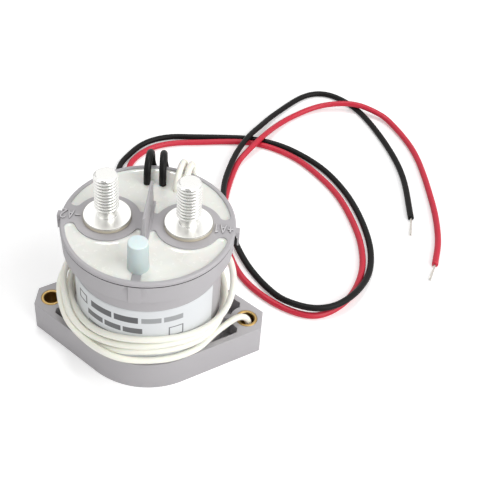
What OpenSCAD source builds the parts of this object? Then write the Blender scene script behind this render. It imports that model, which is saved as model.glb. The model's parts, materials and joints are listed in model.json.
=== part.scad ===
// High voltage dc contactor, in millimetres, +Z up.
// Origin: middle of the base's underside; the two ears and the two terminals lie along X.

/* [Housing] */
// Outside radius of the lower body
body_radius = 29.6; // [28:0.2:33]
// Height of the seam between the housing and the cover
seam_height = 61.8; // [58:0.2:70]
// Wall thickness of the lower body
housing_wall = 2.2; // [1.6:0.1:2.6]
// Thickness of the housing's floor
floor_thickness = 2.4; // [1.6:0.1:3]
// Height of the wide band below the seam
band_height = 8.2; // [7.4:0.2:9.4]
// Step from the lower body out to the band
band_step = 4; // [3.4:0.1:4.6]
// Growth of the band's radius from its lower edge to the seam
band_flare = 0.4; // [0.2:0.1:0.8]
// Wall thickness of the band and of the cover's rim
band_wall = 1.85; // [1.6:0.05:2.2]
// Height of the sloped step under the band
step_height = 2; // [1:0.2:3]
// Width of the flat pad on the front of the band
pad_width = 4.8; // [3:0.2:8]
// Height that the pad stands out of the band
pad_proud = 0.4; // [0.4:0.05:0.6]

/* [Base] */
// Height of the base
base_height = 14.2; // [12:0.2:17]
// Step from the lower body out to the round middle of the base
base_step = 1.4; // [1:0.1:2.4]
// Distance from the round middle of the base to each hole's axis
hole_margin = 10.25; // [9.25:0.25:13]
// Distance from each hole's axis to the end of its ear
ear_margin = 6.5; // [5.75:0.25:9]
// Width of the flat end of each ear
ear_end_width = 8.8; // [6:0.2:11]
// Wall left outside each ear pocket
ear_wall = 2.5; // [1.8:0.1:3]
// Depth of the ear pockets
pocket_depth = 9; // [4:0.5:10]
// Wall of the boss around each bushing
boss_wall = 2.2; // [1.4:0.1:2.6]

/* [Bushings] */
// Bore of each bushing
bushing_bore = 6.4; // [5.4:0.1:7]
// Wall of each bushing
bushing_wall = 1.3; // [0.8:0.1:1.6]
// Height that each bushing stands above the base
bushing_proud = 0.15; // [0.05:0.05:0.5]

/* [Cover] */
// Overhang of the rim over the band
rim_overhang = 0.1; // [0.05:0.05:0.4]
// Height of the rim above the seam
rim_height = 2; // [1.6:0.1:2.6]
// Height of the groove along the seam
seam_groove = 0.5; // [0.2:0.05:0.8]
// Depth of the cover's frame below the rim's top
frame_depth = 6; // [5.4:0.1:6.6]
// Width of the bridge that carries both terminals
bridge_width = 9.4; // [7:0.2:12]
// Width of the ring around each terminal's disc
ring_width = 3.4; // [2:0.1:4]
// Width of the front spoke
spoke_width = 3.3; // [2.4:0.1:4.4]
// Drop of the potting below the rim's top
potting_drop = 1.3; // [0.8:0.1:1.8]
// Length of the barrier wall between the terminals
barrier_length = 22; // [16:0.5:26]
// Height of the barrier wall above the cover
barrier_height = 11; // [6:0.5:14]
// Thickness of the barrier wall at its foot
barrier_foot = 1.7; // [1.4:0.1:2.4]
// Thickness of the barrier wall at its top
barrier_top = 0.9; // [0.6:0.1:1.4]
// Width of the low rib under the barrier wall
barrier_rib_width = 3.4; // [2.6:0.1:4]
// Height of the low rib under the barrier wall
barrier_rib_height = 0.8; // [0.4:0.1:1.6]
// Width of each side lug
lug_width = 2.8; // [2:0.2:6]
// Height that each side lug stands out of the rim
lug_proud = 1.5; // [1.2:0.1:2.2]
// Height of the solid block of each side lug
lug_block = 2.2; // [1.8:0.1:4]
// Length of the strip that hangs below each block
lug_drop = 4.4; // [2:0.1:6]
// Thickness of the hanging strip
lug_strip = 0.7; // [0.5:0.1:1]

/* [Terminals] */
// Distance between the two studs
stud_spacing = 31.75; // [29:0.25:34]
// Outside diameter of the stud's thread
stud_diameter = 9.6; // [8:0.1:10.4]
// Step from the thread's crest in to the plain shank
shank_step = 1.15; // [0.8:0.05:1.4]
// Height of the stud above its disc
stud_height = 20; // [14:0.2:26]
// Height of the plain shank above the disc
shank_height = 3; // [2:0.2:9]
// Width of the flange disc beyond the post
disc_flange = 4.1; // [2.4:0.1:4.6]
// Thickness of the flange disc
disc_thickness = 1.8; // [1:0.1:3]
// Width of the post beyond the stud's thread
post_step = 0.7; // [0.4:0.05:1.2]
// Edge break on turned and moulded parts
edge_break = 0.3; // [0.1:0.05:0.5]

/* [Tube and cap] */
// Distance from the rim's inside to the evacuation tube's axis
tube_margin = 8.15; // [7.4:0.05:9.4]
// Outside diameter of the tube
tube_diameter = 3.2; // [2.4:0.1:3.8]
// Wall of the tube
tube_wall = 0.5; // [0.3:0.1:0.8]
// Wall of the boss around the tube
tube_boss_wall = 0.8; // [0.6:0.1:1.2]
// Height of the cap
cap_height = 13; // [10:0.5:16]
// Wall of the cap
cap_wall = 1.1; // [0.7:0.1:1.3]
// Growth of the cap's radius from its top to its foot
cap_flare = 0.6; // [0.3:0.1:1]

/* [Label] */
// Distance from the base up to the label
label_margin = 2.8; // [1:0.2:8]
// Height of the label
label_height = 27.4; // [16:0.2:32]
// Angle that the label covers
label_angle = 134; // [60:1:170]
// Thickness of the label
label_thickness = 0.15; // [0.1:0.05:0.25]

/* [Magnet] */
// Wall of the steel yoke cup
yoke_wall = 2; // [1.5:0.1:2.4]
// Thickness of the yoke cup's floor
yoke_floor = 2.4; // [2:0.1:3]
// Thickness of the yoke plate
plate_thickness = 3; // [2.4:0.1:3.6]
// Wall of the bobbin's tube and flanges
bobbin_wall = 1.1; // [0.8:0.1:1.5]
// Diameter of the plunger and the fixed core
plunger_diameter = 16.8; // [14:0.2:19]
// Share of the bobbin's height that the plunger takes
plunger_share = 0.42; // [0.36:0.01:0.46]
// Wall of the guide sleeve
guide_wall = 0.7; // [0.5:0.1:1]
// Thickness of the bumper pad under the plunger
bumper_thickness = 1.6; // [1:0.1:2]
// Distance from the winding out to the bobbin flange's edge
winding_margin = 2.2; // [1:0.1:4]
// Lift of the plunger
plunger_lift = 2; // [1.4:0.1:2.4]

/* [Contacts] */
// Height of the arc chamber
chamber_height = 19.8; // [18.6:0.1:22]
// Distance from the bridge's sides to the outside of the arc chamber
chamber_margin = 6.4; // [5:0.1:7.4]
// Distance from the bridge's ends to the outside of the arc chamber
chamber_end_margin = 3.2; // [2.6:0.1:4]
// Wall of the arc chamber
chamber_wall = 1.8; // [1.2:0.1:2.2]
// Opening of the contacts at rest
contact_gap = 1.5; // [1:0.1:1.9]
// Length of the contact bridge beyond each contact pad
bridge_end = 0.62; // [0.4:0.02:1.2]
// Width of the contact bridge
bridge_bar_width = 12; // [10.2:0.2:14]
// Thickness of the contact bridge
bridge_thickness = 3; // [2:0.1:3.6]
// Diameter of the contact pads
pad_diameter = 9; // [6:0.2:10]
// Height of the contact pads
pad_height = 0.7; // [0.4:0.1:1]
// Diameter of the shaft
shaft_diameter = 3; // [2.4:0.1:3.4]
// Height of the spring seat above the yoke plate
seat_rise = 2.3; // [2:0.1:3]
// Length of the contact spring at rest
contact_spring_length = 5.5; // [5:0.1:6.2]
// Length of each blow-out magnet
magnet_length = 28; // [20:0.5:31]
// Thickness of each blow-out magnet
magnet_thickness = 3; // [2:0.1:3.6]
// Height of each blow-out magnet
magnet_height = 12; // [8:0.2:14]

/* [Cords] */
// Diameter of the coil leads
lead_diameter = 2.9; // [2:0.1:2.9]
// Diameter of the sleeves on the coil leads
sleeve_diameter = 3; // [2.4:0.1:3.2]
// Diameter of the auxiliary leads
aux_diameter = 2.7; // [2.2:0.1:2.7]

/* [Hidden] */
$fn = 96;

// Clearances
press_gap = 0.02;
resin_gap = 0.05;
slide_gap = 0.08;
loose_gap = 0.2;
drop_in_gap = 0.5;
cut = 1;

// Colours
plastic_grey = [0.70, 0.68, 0.71];
resin_white = [0.93, 0.93, 0.90];
bright_metal = [0.84, 0.84, 0.83];
steel_grey = [0.55, 0.56, 0.58];
copper = [0.78, 0.45, 0.28];
brass_yellow = [0.72, 0.56, 0.28];
ivory_white = [0.96, 0.96, 0.90];
lead_black = [0.10, 0.10, 0.11];
lead_red = [0.85, 0.18, 0.24];

// Radii of the housing and the cover
base_radius = body_radius + base_step;
cavity_radius = body_radius - housing_wall;
band_low_radius = body_radius + band_step;
band_top_radius = band_low_radius + band_flare;
rim_radius = band_top_radius + rim_overhang;
rim_inner_radius = band_top_radius - band_wall;
groove_radius = rim_inner_radius + band_wall / 2;

// Plan of the base: each ear's long edges touch the round middle
hole_x = base_radius + hole_margin;
ear_x = hole_x + ear_margin;
ear_y = ear_end_width / 2;
ear_angle = atan2(ear_y, ear_x) + acos(base_radius / norm([ear_x, ear_y]));
ear_touch = base_radius * [cos(ear_angle), sin(ear_angle)];
bushing_outer = bushing_bore + 2 * bushing_wall;
boss_radius = bushing_outer / 2 + boss_wall;
pocket_inner_radius = base_radius + 0.6;
pocket_end = hole_x - boss_radius / 2;

// Levels of the housing and the cover
cover_top = seam_height + rim_height;
potting_top = cover_top - potting_drop;
header_top = cover_top - frame_depth;
header_thickness = 2.8;
shelf_z = header_top - header_thickness;
band_low_z = seam_height - band_height;
label_low = base_height + label_margin;

// Terminals, tube and cap
terminal_x = stud_spacing / 2;
post_diameter = stud_diameter + 2 * post_step;
disc_diameter = post_diameter + 2 * disc_flange;
ring_radius = disc_diameter / 2 + ring_width;
ring_centre = [terminal_x, 0];
tube_y = tube_margin - rim_inner_radius;
tube_boss_radius = tube_diameter / 2 + loose_gap + tube_boss_wall;
cap_top_radius = tube_boss_radius - loose_gap / 2 + cap_wall;
cap_foot_radius = cap_top_radius + cap_flare;

// Round outer end of each window: a circle that touches the bridge, the ring and the rim
round_ease = 1.015;
round_least = 0.1;
bridge_y = bridge_width / 2;
outer_reach = (pow(rim_inner_radius, 2) - pow(ring_radius, 2) + pow(terminal_x, 2)) / (2 * terminal_x);
outer_slope = (rim_inner_radius + ring_radius) / terminal_x;
outer_middle = outer_reach * outer_slope - bridge_y - rim_inner_radius;
outer_rest = pow(outer_reach, 2) + pow(bridge_y, 2) - pow(rim_inner_radius, 2);
outer_root = sqrt(pow(outer_middle, 2) - pow(outer_slope, 2) * outer_rest);
outer_round = max(round_least, (outer_middle - outer_root) / pow(outer_slope, 2));
outer_centre = [outer_reach - outer_slope * outer_round, bridge_y + outer_round];

// Round inner end of each window: a circle that touches the bridge, the ring and the barrier's rib
rib_x = barrier_rib_width / 2;
inner_middle = terminal_x - rib_x + ring_radius - bridge_y;
inner_rest = pow(terminal_x - rib_x, 2) + pow(bridge_y, 2) - pow(ring_radius, 2);
inner_round = max(round_least, inner_middle - sqrt(pow(inner_middle, 2) - inner_rest));
inner_centre = [rib_x + inner_round, bridge_y + inner_round];

// Magnet levels
yoke_radius = cavity_radius - drop_in_gap;
bobbin_z = floor_thickness + yoke_floor;
plate_top = shelf_z - chamber_height;
plate_z = plate_top - plate_thickness;
bobbin_height = plate_z - bobbin_z;
plunger_radius = plunger_diameter / 2;
guide_inner_radius = plunger_radius + slide_gap;
guide_radius = guide_inner_radius + guide_wall;
bobbin_inner_radius = guide_radius + loose_gap / 2;
bobbin_tube_radius = bobbin_inner_radius + bobbin_wall;
bobbin_flange_radius = yoke_radius - yoke_wall - loose_gap;
winding_inner_radius = bobbin_tube_radius + resin_gap;
winding_radius = bobbin_flange_radius - winding_margin;
plunger_z = bobbin_z + bumper_thickness;
plunger_top = plunger_z + plunger_share * bobbin_height;
core_rest_gap = 0.1;
core_z = plunger_top + plunger_lift + core_rest_gap;
spring_well_radius = 4.2;
plunger_well = 3;
core_well = 5;

// Contact levels
shaft_radius = shaft_diameter / 2;
seat_z = plate_top + seat_rise;
seat_thickness = 1;
seat_radius = 5;
bridge_z = seat_z + seat_thickness + contact_spring_length;
bridge_top = bridge_z + bridge_thickness;
bridge_length = stud_spacing + pad_diameter + 2 * bridge_end;
contact_z = bridge_top + pad_height + contact_gap + press_gap;
clip_thickness = 0.6;
clip_radius = 3.4;
shaft_top = bridge_top + clip_thickness + 1.6;
shaft_low = plunger_z + 2.6;
shoulder_radius = 2.4;
shoulder_height = 1.2;
chamber_length = bridge_length + 2 * chamber_end_margin;
chamber_width = bridge_bar_width + 2 * chamber_margin;
chamber_reach = cavity_radius - loose_gap;
magnet_drop = 1;

// Springs
return_spring_radius = 3.1;
return_spring_wire = 0.45;
return_spring_turns = 6;
contact_spring_radius = 3.6;
contact_spring_wire = 0.55;
contact_spring_turns = 3.5;
spring_steps = 16;
spring_sides = 8;

// Auxiliary contact
reed_radius = 1.5;
reed_length = 15;
reed_rise = 4.2;
reed_clip_spacing = 9;
reed_clip_length = 2.4;
reed_clip_wall = 1.1;
reed_y = chamber_width / 2 + magnet_thickness + reed_radius + reed_clip_wall + 1.6;

// Sleeves: foot on the potting and drop behind the rim, in plan
sleeve_back_y = rim_radius + sleeve_diameter / 2 + loose_gap;
sleeve_reach = 13.8;
sleeve_feet = [[-3.4, sleeve_back_y - sleeve_reach], [3, sleeve_back_y - sleeve_reach]];
sleeve_backs = [[-2, sleeve_back_y], [2.9, sleeve_back_y]];
sleeve_bend_z = potting_top + 5.4;
sleeve_end_z = band_low_z - 3.6;

// Cord routes: a cord runs straight from point to point
tube_reference = [-0.5, 0.5, 0.7];
cord_sides = 8;
black_route = [
    [-2, 35.8, 50], [-2.4, 36.2, 40], [-5, 39, 27], [-10, 46, 14], [-18, 58, 5], [-26.5, 78, 1.5],
    [-30, 102, 1.5], [-27, 113, 1.5], [-20, 124.5, 1.5], [-9, 131, 1.5], [5, 133, 1.5], [20, 134.8, 1.5],
    [34, 135.6, 1.5], [48, 132.5, 1.5], [60, 126, 1.5], [72, 115.5, 1.5], [82, 101, 1.5], [89, 85, 1.5],
    [93.5, 68, 1.5], [94.5, 54, 1.5], [92.3, 41.5, 2.6], [86, 28.5, 4.7], [78, 20.8, 4.9], [69, 18.2, 4.9],
    [60, 20, 4.8], [53.5, 25, 3], [46, 34, 1.5], [39.5, 43, 1.5], [33, 55, 2.6], [26, 73, 4.6], [23.5, 92, 4.6],
    [25, 108, 4.4], [28, 121.5, 4.6], [32.8, 134, 4.8], [38, 145, 3.4], [44, 157, 1.8], [58, 175.5, 1.5],
    [69, 180.5, 1.5], [80, 176, 1.5], [91, 164, 1.5], [103, 140, 1.5], [110.5, 116, 1.5], [113.5, 86, 1.5]
];
red_route = [
    [2.9, 35.8, 50], [2.6, 36.2, 40], [0.5, 39, 27], [-4, 46, 14], [-11, 58, 5], [-19.5, 78, 1.5],
    [-25, 102, 1.5], [-22.5, 113, 1.5], [-15.5, 121.5, 1.5], [-5, 126.5, 1.5], [8, 129, 1.5],
    [21, 131.4, 1.5], [33, 132.4, 1.5], [46, 129.2, 1.5], [59, 121.5, 1.5], [70, 110, 1.5], [79, 97, 1.5],
    [86, 80, 1.5], [90, 64, 1.5], [90.5, 48, 1.5], [86.5, 33, 1.5], [79.5, 22.8, 1.5], [70.5, 17, 1.5],
    [60, 18.4, 1.5], [48, 25, 1.5], [37, 36, 1.5], [29.5, 52, 1.5], [25.5, 70, 1.5], [25, 90, 1.5],
    [28, 113, 1.6], [32.6, 122.5, 3.4], [39.2, 133.6, 4.7], [45, 145, 3], [53, 156.5, 1.6], [65, 166, 2.4],
    [76, 169, 3.9], [87, 168.8, 4.7], [97, 165.2, 3.6], [105, 159, 2.2], [117, 135.5, 1.5], [124, 99, 1.5],
    [125.5, 74, 1.5], [123.2, 56, 1.5]
];
tip_routes = [
    [[113.5, 85.9, 1.5], [113, 74.5, 0.8]],
    [[123.2, 55.8, 1.5], [120.5, 46.5, 0.8]]
];
tip_diameter = 1;
aux_drop_routes = [
    [[8.4, 20.5, 62.5], [8.4, 20.5, 64.5], [8.7, 24, 67.2], [9.4, 30, 68], [10, 34.9, 66.2], [10.2, 36.2, 60],
     [9.8, 35.2, 47], [9.4, 33.4, 36], [9.2, 31.8, 31]],
    [[11.8, 19.8, 62.5], [11.8, 19.8, 64.5], [12.1, 23.2, 67.2], [12.8, 29.2, 68], [13.4, 34, 66.2],
     [13.6, 35.2, 60], [13.2, 34.2, 47], [12.8, 32.2, 36], [12.6, 30.8, 31]]
];
aux_tail_route = [[27, -21, 18.5], [30.6, -15.6, 16.6], [33.6, -10.4, 15.8], [35.6, -6.8, 15.7]];
aux_coil_inner = body_radius + 0.4;
aux_coil_outer = aux_coil_inner + aux_diameter + loose_gap / 2;
aux_coil_low = base_height + 1.4;
aux_coil_high = aux_coil_low + 15.4;

// Direction of a vector
function unit(v) = v / norm(v);

// Direction of a route at its point i
function heading(route, i) = unit(route[min(i + 1, len(route) - 1)] - route[max(i - 1, 0)]);

// Corners of the ring that stands square to a route at its point i
function ring_points(route, i, radius, sides) =
    let (along = heading(route, i), side = unit(cross(along, tube_reference)), lift = cross(side, along))
    [for (k = [0 : sides - 1])
        route[i] + radius * (cos(360 * k / sides) * side + sin(360 * k / sides) * lift)];

// Points along a helix about Z
function helix(radius, low, high, turns) =
    let (steps = round(turns * spring_steps))
    [for (i = [0 : steps])
        [radius * cos(360 * turns * i / steps), radius * sin(360 * turns * i / steps),
         low + (high - low) * i / steps]];

// Closed tube along a route
module tube(route, radius, sides = cord_sides) {
    last = len(route) - 1;
    corners = [for (i = [0 : last]) each ring_points(route, i, radius, sides)];
    walls = [for (i = [0 : last - 1], k = [0 : sides - 1])
        [i * sides + k, (i + 1) * sides + k, (i + 1) * sides + (k + 1) % sides, i * sides + (k + 1) % sides]];
    ends = [[for (k = [0 : sides - 1]) k], [for (k = [sides - 1 : -1 : 0]) last * sides + k]];
    polyhedron(points = corners, faces = concat(walls, ends), convexity = 10);
}

// Flat ring
module ring(outer, inner, height) {
    difference() {
        cylinder(r = outer, h = height);
        translate([0, 0, -cut]) cylinder(r = inner, h = height + 2 * cut);
    }
}

// Rectangle with round corners
module round_rectangle(length, width, radius) {
    square([length - 2 * radius, width], center = true);
    square([length, width - 2 * radius], center = true);
    for (sx = [-1, 1], sy = [-1, 1])
        translate([sx * (length / 2 - radius), sy * (width / 2 - radius)]) circle(radius);
}

// Copies on the two ears or terminals at +x and -x
module both_sides(x) {
    for (side = [-1, 1]) translate([side * x, 0, 0]) children();
}

// Outline of the base
module base_plan() {
    corners = [[ear_x, -ear_y], [ear_x, ear_y], ear_touch, [-ear_touch.x, ear_touch.y],
               [-ear_x, ear_y], [-ear_x, -ear_y], -ear_touch, [ear_touch.x, -ear_touch.y]];
    polygon(corners);
    circle(base_radius);
}

// One pocket beside the boss of the right ear, at its rear
module pocket_plan() {
    reach = 2 * ear_x;
    difference() {
        intersection() {
            rotate(ear_angle) translate([-reach, -reach]) square([reach + base_radius - ear_wall, 2 * reach]);
            translate([0, ear_wall / 2]) square([pocket_end, reach]);
        }
        translate([hole_x, 0]) circle(boss_radius);
        circle(pocket_inner_radius);
    }
}

// Area between the bridge and the round end of a window
module window_end(corners, centre, radius) {
    difference() {
        polygon(corners);
        translate(centre) circle(radius);
    }
}

// Outline of the cover's frame inside the rim, grown by a gap on every side
module frame_plan(gap) {
    rim_reach = rim_inner_radius + 0.5;
    rim_corner = rim_reach * unit(outer_centre);
    square([2 * rim_reach, bridge_width + 2 * gap], center = true);
    both_sides(terminal_x) circle(ring_radius + gap);
    square([barrier_rib_width, barrier_length] + 2 * gap * [1, 1], center = true);
    for (mx = [0, 1], my = [0, 1]) mirror([mx, 0]) mirror([0, my]) {
        window_end([ring_centre, [rim_reach, 0], rim_corner, outer_centre], outer_centre,
                   outer_round * round_ease - gap);
        window_end([[0, 0], ring_centre, inner_centre, [0, inner_centre.y]], inner_centre,
                   inner_round * round_ease - gap);
    }
}

// Outline of the front spoke with the tube's boss, grown by a gap on every side
module spoke_plan(gap) {
    translate([-spoke_width / 2 - gap, -rim_inner_radius - 0.5])
        square([spoke_width + 2 * gap, rim_inner_radius]);
    translate([0, tube_y]) circle(tube_boss_radius + gap);
}

module housing() color(plastic_grey) {
    difference() {
        union() {
            linear_extrude(base_height) base_plan();
            rotate_extrude() polygon([
                [0, 0], [body_radius, 0], [body_radius, band_low_z - step_height], [band_low_radius, band_low_z],
                [band_top_radius, seam_height], [0, seam_height]]);
            front_pad();
        }
        rotate_extrude() polygon([
            [0, floor_thickness], [cavity_radius, floor_thickness], [cavity_radius, shelf_z],
            [rim_inner_radius, shelf_z], [rim_inner_radius, seam_height + cut], [0, seam_height + cut]]);
        both_sides(hole_x) translate([0, 0, -cut])
            cylinder(d = bushing_outer + 2 * press_gap, h = base_height + 2 * cut);
        for (mx = [0, 1], my = [0, 1])
            mirror([mx, 0, 0]) mirror([0, my, 0])
                translate([0, 0, base_height - pocket_depth]) linear_extrude(pocket_depth + cut) pocket_plan();
    }
}

// Flat pad on the front of the band, in line with the front spoke
module front_pad() {
    angle = pad_width / band_low_radius * 180 / PI;
    rotate(-90 - angle / 2) rotate_extrude(angle = angle) polygon([
        [rim_inner_radius, band_low_z], [band_low_radius + pad_proud, band_low_z],
        [band_top_radius + pad_proud - edge_break, seam_height],
        [rim_inner_radius, seam_height]]);
}

module bushing() color(brass_yellow) {
    chamfer = edge_break;
    outer = bushing_outer / 2;
    bore = bushing_bore / 2;
    top = base_height + bushing_proud;
    rotate_extrude() polygon([
        [bore, 0], [outer, 0], [outer, top - chamfer], [outer - chamfer, top], [bore + chamfer, top],
        [bore, top - chamfer]]);
}

module bushing_left() translate([-hole_x, 0, 0]) bushing();

module bushing_right() translate([hole_x, 0, 0]) bushing();

module top_cover() color(plastic_grey) {
    difference() {
        union() {
            rotate_extrude() polygon([
                [rim_inner_radius, seam_height], [groove_radius, seam_height],
                [groove_radius, seam_height + seam_groove], [rim_radius, seam_height + seam_groove],
                [rim_radius, cover_top - 2 * edge_break],
                [rim_radius - 2 * edge_break, cover_top], [rim_inner_radius + edge_break, cover_top],
                [rim_inner_radius, cover_top - edge_break]]);
            intersection() {
                union() {
                    translate([0, 0, header_top]) linear_extrude(frame_depth) frame_plan(0);
                    translate([0, 0, header_top]) linear_extrude(potting_top - header_top) spoke_plan(0);
                }
                rotate_extrude() polygon([
                    [0, header_top], [rim_inner_radius - loose_gap, header_top],
                    [rim_inner_radius - loose_gap, seam_height], [rim_inner_radius + 0.5, seam_height],
                    [rim_inner_radius + 0.5, cover_top], [0, cover_top]]);
            }
            barrier();
            for (side = [-1, 1]) side_lug(side);
        }
        both_sides(terminal_x) translate([0, 0, header_top - cut])
            cylinder(d = post_diameter + 2 * loose_gap, h = frame_depth + 2 * cut);
        translate([0, tube_y, header_top - cut])
            cylinder(d = tube_diameter + 2 * loose_gap, h = frame_depth + 2 * cut);
    }
}

// Wall between the two terminals, drawn in to its top edge, on a low rib
module barrier() {
    foot = barrier_foot / 2;
    top = barrier_top / 2;
    translate([0, barrier_length / 2, cover_top]) rotate([90, 0, 0]) linear_extrude(barrier_length)
        polygon([[-foot, -edge_break], [foot, -edge_break], [top, barrier_height], [-top, barrier_height]]);
    translate([-barrier_rib_width / 2, -barrier_length / 2, cover_top - edge_break])
        cube([barrier_rib_width, barrier_length, edge_break + barrier_rib_height]);
}

// Block on the side of the rim with a strip that hangs clear of the band
module side_lug(side) {
    top = cover_top - edge_break;
    outer = rim_radius + lug_proud;
    root = rim_radius - band_wall / 2;
    strip_x = side > 0 ? outer - lug_strip : -outer;
    lug_height = lug_block + lug_drop;
    translate([side > 0 ? root : -outer, -lug_width / 2, seam_height])
        cube([outer - root, lug_width, top - seam_height]);
    block_root = rim_radius + loose_gap;
    translate([side > 0 ? block_root : -outer, -lug_width / 2, top - lug_block])
        cube([outer - block_root, lug_width, lug_block]);
    translate([strip_x, -lug_width / 2, top - lug_height]) cube([lug_strip, lug_width, lug_height]);
}

module potting() color(resin_white) {
    translate([0, 0, header_top]) linear_extrude(potting_top - header_top) difference() {
        circle(rim_inner_radius - resin_gap);
        frame_plan(resin_gap);
        spoke_plan(resin_gap);
    }
}

// Turned stud, flange disc and contact post in one piece
module terminal() color(bright_metal) {
    post = post_diameter / 2;
    disc = disc_diameter / 2;
    stud = stud_diameter / 2;
    shank = stud - shank_step;
    disc_top = cover_top + disc_thickness;
    thread_z = disc_top + shank_height;
    stud_top = disc_top + stud_height;
    lead_in = 3 * edge_break;
    rotate_extrude() polygon([
        [0, contact_z], [post - edge_break, contact_z], [post, contact_z + edge_break], [post, cover_top],
        [disc, cover_top], [disc, disc_top - edge_break], [disc - edge_break, disc_top], [shank, disc_top],
        [shank, thread_z], [stud, thread_z + shank_step], [stud, stud_top - lead_in],
        [stud - lead_in, stud_top], [0, stud_top]]);
}

module terminal_left() translate([-terminal_x, 0, 0]) terminal();

module terminal_right() translate([terminal_x, 0, 0]) terminal();

module fill_tube() color(copper) {
    length = potting_top + cap_height - 3 * cap_wall - shelf_z;
    translate([0, tube_y, shelf_z]) difference() {
        cylinder(d = tube_diameter, h = length);
        translate([0, 0, -cut]) cylinder(d = tube_diameter - 2 * tube_wall, h = length - 2 * tube_wall + cut);
    }
}

module tube_cap() color([0.78, 0.88, 0.90]) {
    foot = cap_foot_radius;
    top = cap_top_radius;
    crown = 2 * edge_break;
    bore = top - cap_wall;
    translate([0, tube_y, potting_top]) rotate_extrude() polygon([
        [tube_boss_radius + loose_gap, 0], [foot, 0], [foot, edge_break], [top, cap_height - crown],
        [top - crown, cap_height], [0, cap_height], [0, cap_height - 2 * cap_wall],
        [bore, cap_height - 2 * cap_wall], [bore, 4 * cap_wall]]);
}

module label() color("white") {
    inner = body_radius + press_gap;
    rotate(-90 - label_angle / 2) rotate_extrude(angle = label_angle)
        translate([inner, label_low]) square([label_thickness, label_height]);
}

// Sleeve that rises from the potting, bends over the rim and hangs behind it
module sleeve(foot, back) {
    reach = norm(back - foot);
    turn = atan2(back.y - foot.y, back.x - foot.x);
    translate([foot.x, foot.y, 0]) rotate(turn) {
        translate([0, 0, potting_top]) cylinder(d = sleeve_diameter, h = sleeve_bend_z - potting_top);
        translate([reach / 2, 0, sleeve_bend_z]) rotate([90, 0, 0]) rotate_extrude(angle = 180)
            translate([reach / 2, 0]) circle(d = sleeve_diameter);
        translate([reach, 0, sleeve_end_z]) cylinder(d = sleeve_diameter, h = sleeve_bend_z - sleeve_end_z);
    }
}

module lead_sleeves() color(lead_black) {
    for (i = [0, 1]) sleeve(sleeve_feet[i], sleeve_backs[i]);
}

module coil_lead_black() color(lead_black) tube(black_route, lead_diameter / 2);

module coil_lead_red() color(lead_red) tube(red_route, lead_diameter / 2);

module coil_lead_tips() color(bright_metal) {
    for (route = tip_routes) tube(route, tip_diameter / 2);
}

module aux_lead_drops() color(ivory_white) {
    for (route = aux_drop_routes) tube(route, aux_diameter / 2);
}

// Outer shape of the turns that the auxiliary leads take round the body
module aux_lead_coil() color(ivory_white) {
    ease = aux_diameter / 3;
    rotate_extrude() polygon([
        [aux_coil_inner, aux_coil_low], [aux_coil_outer - ease, aux_coil_low],
        [aux_coil_outer, aux_coil_low + ease], [aux_coil_outer, aux_coil_high - ease],
        [aux_coil_outer - ease, aux_coil_high], [aux_coil_inner, aux_coil_high]]);
}

module aux_lead_tail() color(ivory_white) tube(aux_tail_route, aux_diameter / 2);

module header() color([0.86, 0.84, 0.80]) {
    translate([0, 0, shelf_z]) difference() {
        cylinder(r = rim_inner_radius - loose_gap, h = header_thickness);
        both_sides(terminal_x) translate([0, 0, -cut])
            cylinder(d = post_diameter + 2 * resin_gap, h = header_thickness + 2 * cut);
        translate([0, tube_y, -cut]) cylinder(d = tube_diameter + 2 * resin_gap, h = header_thickness + 2 * cut);
    }
}

// Outline of the arc chamber, drawn in by a wall, kept inside the housing's cavity
module chamber_plan(wall) {
    corner = 3;
    intersection() {
        round_rectangle(chamber_length - 2 * wall, chamber_width - 2 * wall, corner - wall / 2);
        circle(chamber_reach - wall);
    }
}

module arc_chamber() color([0.80, 0.78, 0.72]) {
    translate([0, 0, plate_top]) linear_extrude(chamber_height) difference() {
        chamber_plan(0);
        chamber_plan(chamber_wall);
    }
}

// Magnet glued to the outside of the arc chamber, beside the contacts
module blowout_magnet(side) color(steel_grey) {
    inner_y = chamber_width / 2;
    translate([-magnet_length / 2, side > 0 ? inner_y : -inner_y - magnet_thickness,
               shelf_z - magnet_drop - magnet_height])
        cube([magnet_length, magnet_thickness, magnet_height]);
}

module blowout_magnet_front() blowout_magnet(-1);

module blowout_magnet_rear() blowout_magnet(1);

module contact_bridge() color(copper) {
    difference() {
        union() {
            translate([0, 0, bridge_z]) linear_extrude(bridge_thickness)
                round_rectangle(bridge_length, bridge_bar_width, bridge_bar_width / 3);
            both_sides(terminal_x) translate([0, 0, bridge_top]) cylinder(d = pad_diameter, h = pad_height);
        }
        translate([0, 0, bridge_z - cut]) cylinder(r = shaft_radius + slide_gap, h = bridge_thickness + 2 * cut);
    }
}

module contact_spring() color(steel_grey) {
    seat = contact_spring_wire + press_gap;
    tube(helix(contact_spring_radius, seat_z + seat_thickness + seat, bridge_z - seat, contact_spring_turns),
         contact_spring_wire, spring_sides);
}

module spring_seat() color(bright_metal) {
    translate([0, 0, seat_z]) ring(seat_radius, shaft_radius + press_gap, seat_thickness);
}

module retaining_clip() color(bright_metal) {
    translate([0, 0, bridge_top]) ring(clip_radius, shaft_radius + press_gap, clip_thickness);
}

// Stepped shaft with a shoulder under the spring seat
module shaft() color(bright_metal) {
    rotate_extrude() polygon([
        [0, shaft_low], [shaft_radius, shaft_low], [shaft_radius, seat_z - shoulder_height],
        [shoulder_radius, seat_z - shoulder_height], [shoulder_radius, seat_z], [shaft_radius, seat_z],
        [shaft_radius, shaft_top - edge_break], [shaft_radius - edge_break, shaft_top], [0, shaft_top]]);
}

module plunger() color(steel_grey) {
    bore = shaft_radius + press_gap;
    rotate_extrude() polygon([
        [0, plunger_z], [plunger_radius, plunger_z], [plunger_radius, plunger_top],
        [spring_well_radius, plunger_top], [spring_well_radius, plunger_top - plunger_well],
        [bore, plunger_top - plunger_well], [bore, shaft_low], [0, shaft_low]]);
}

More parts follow.
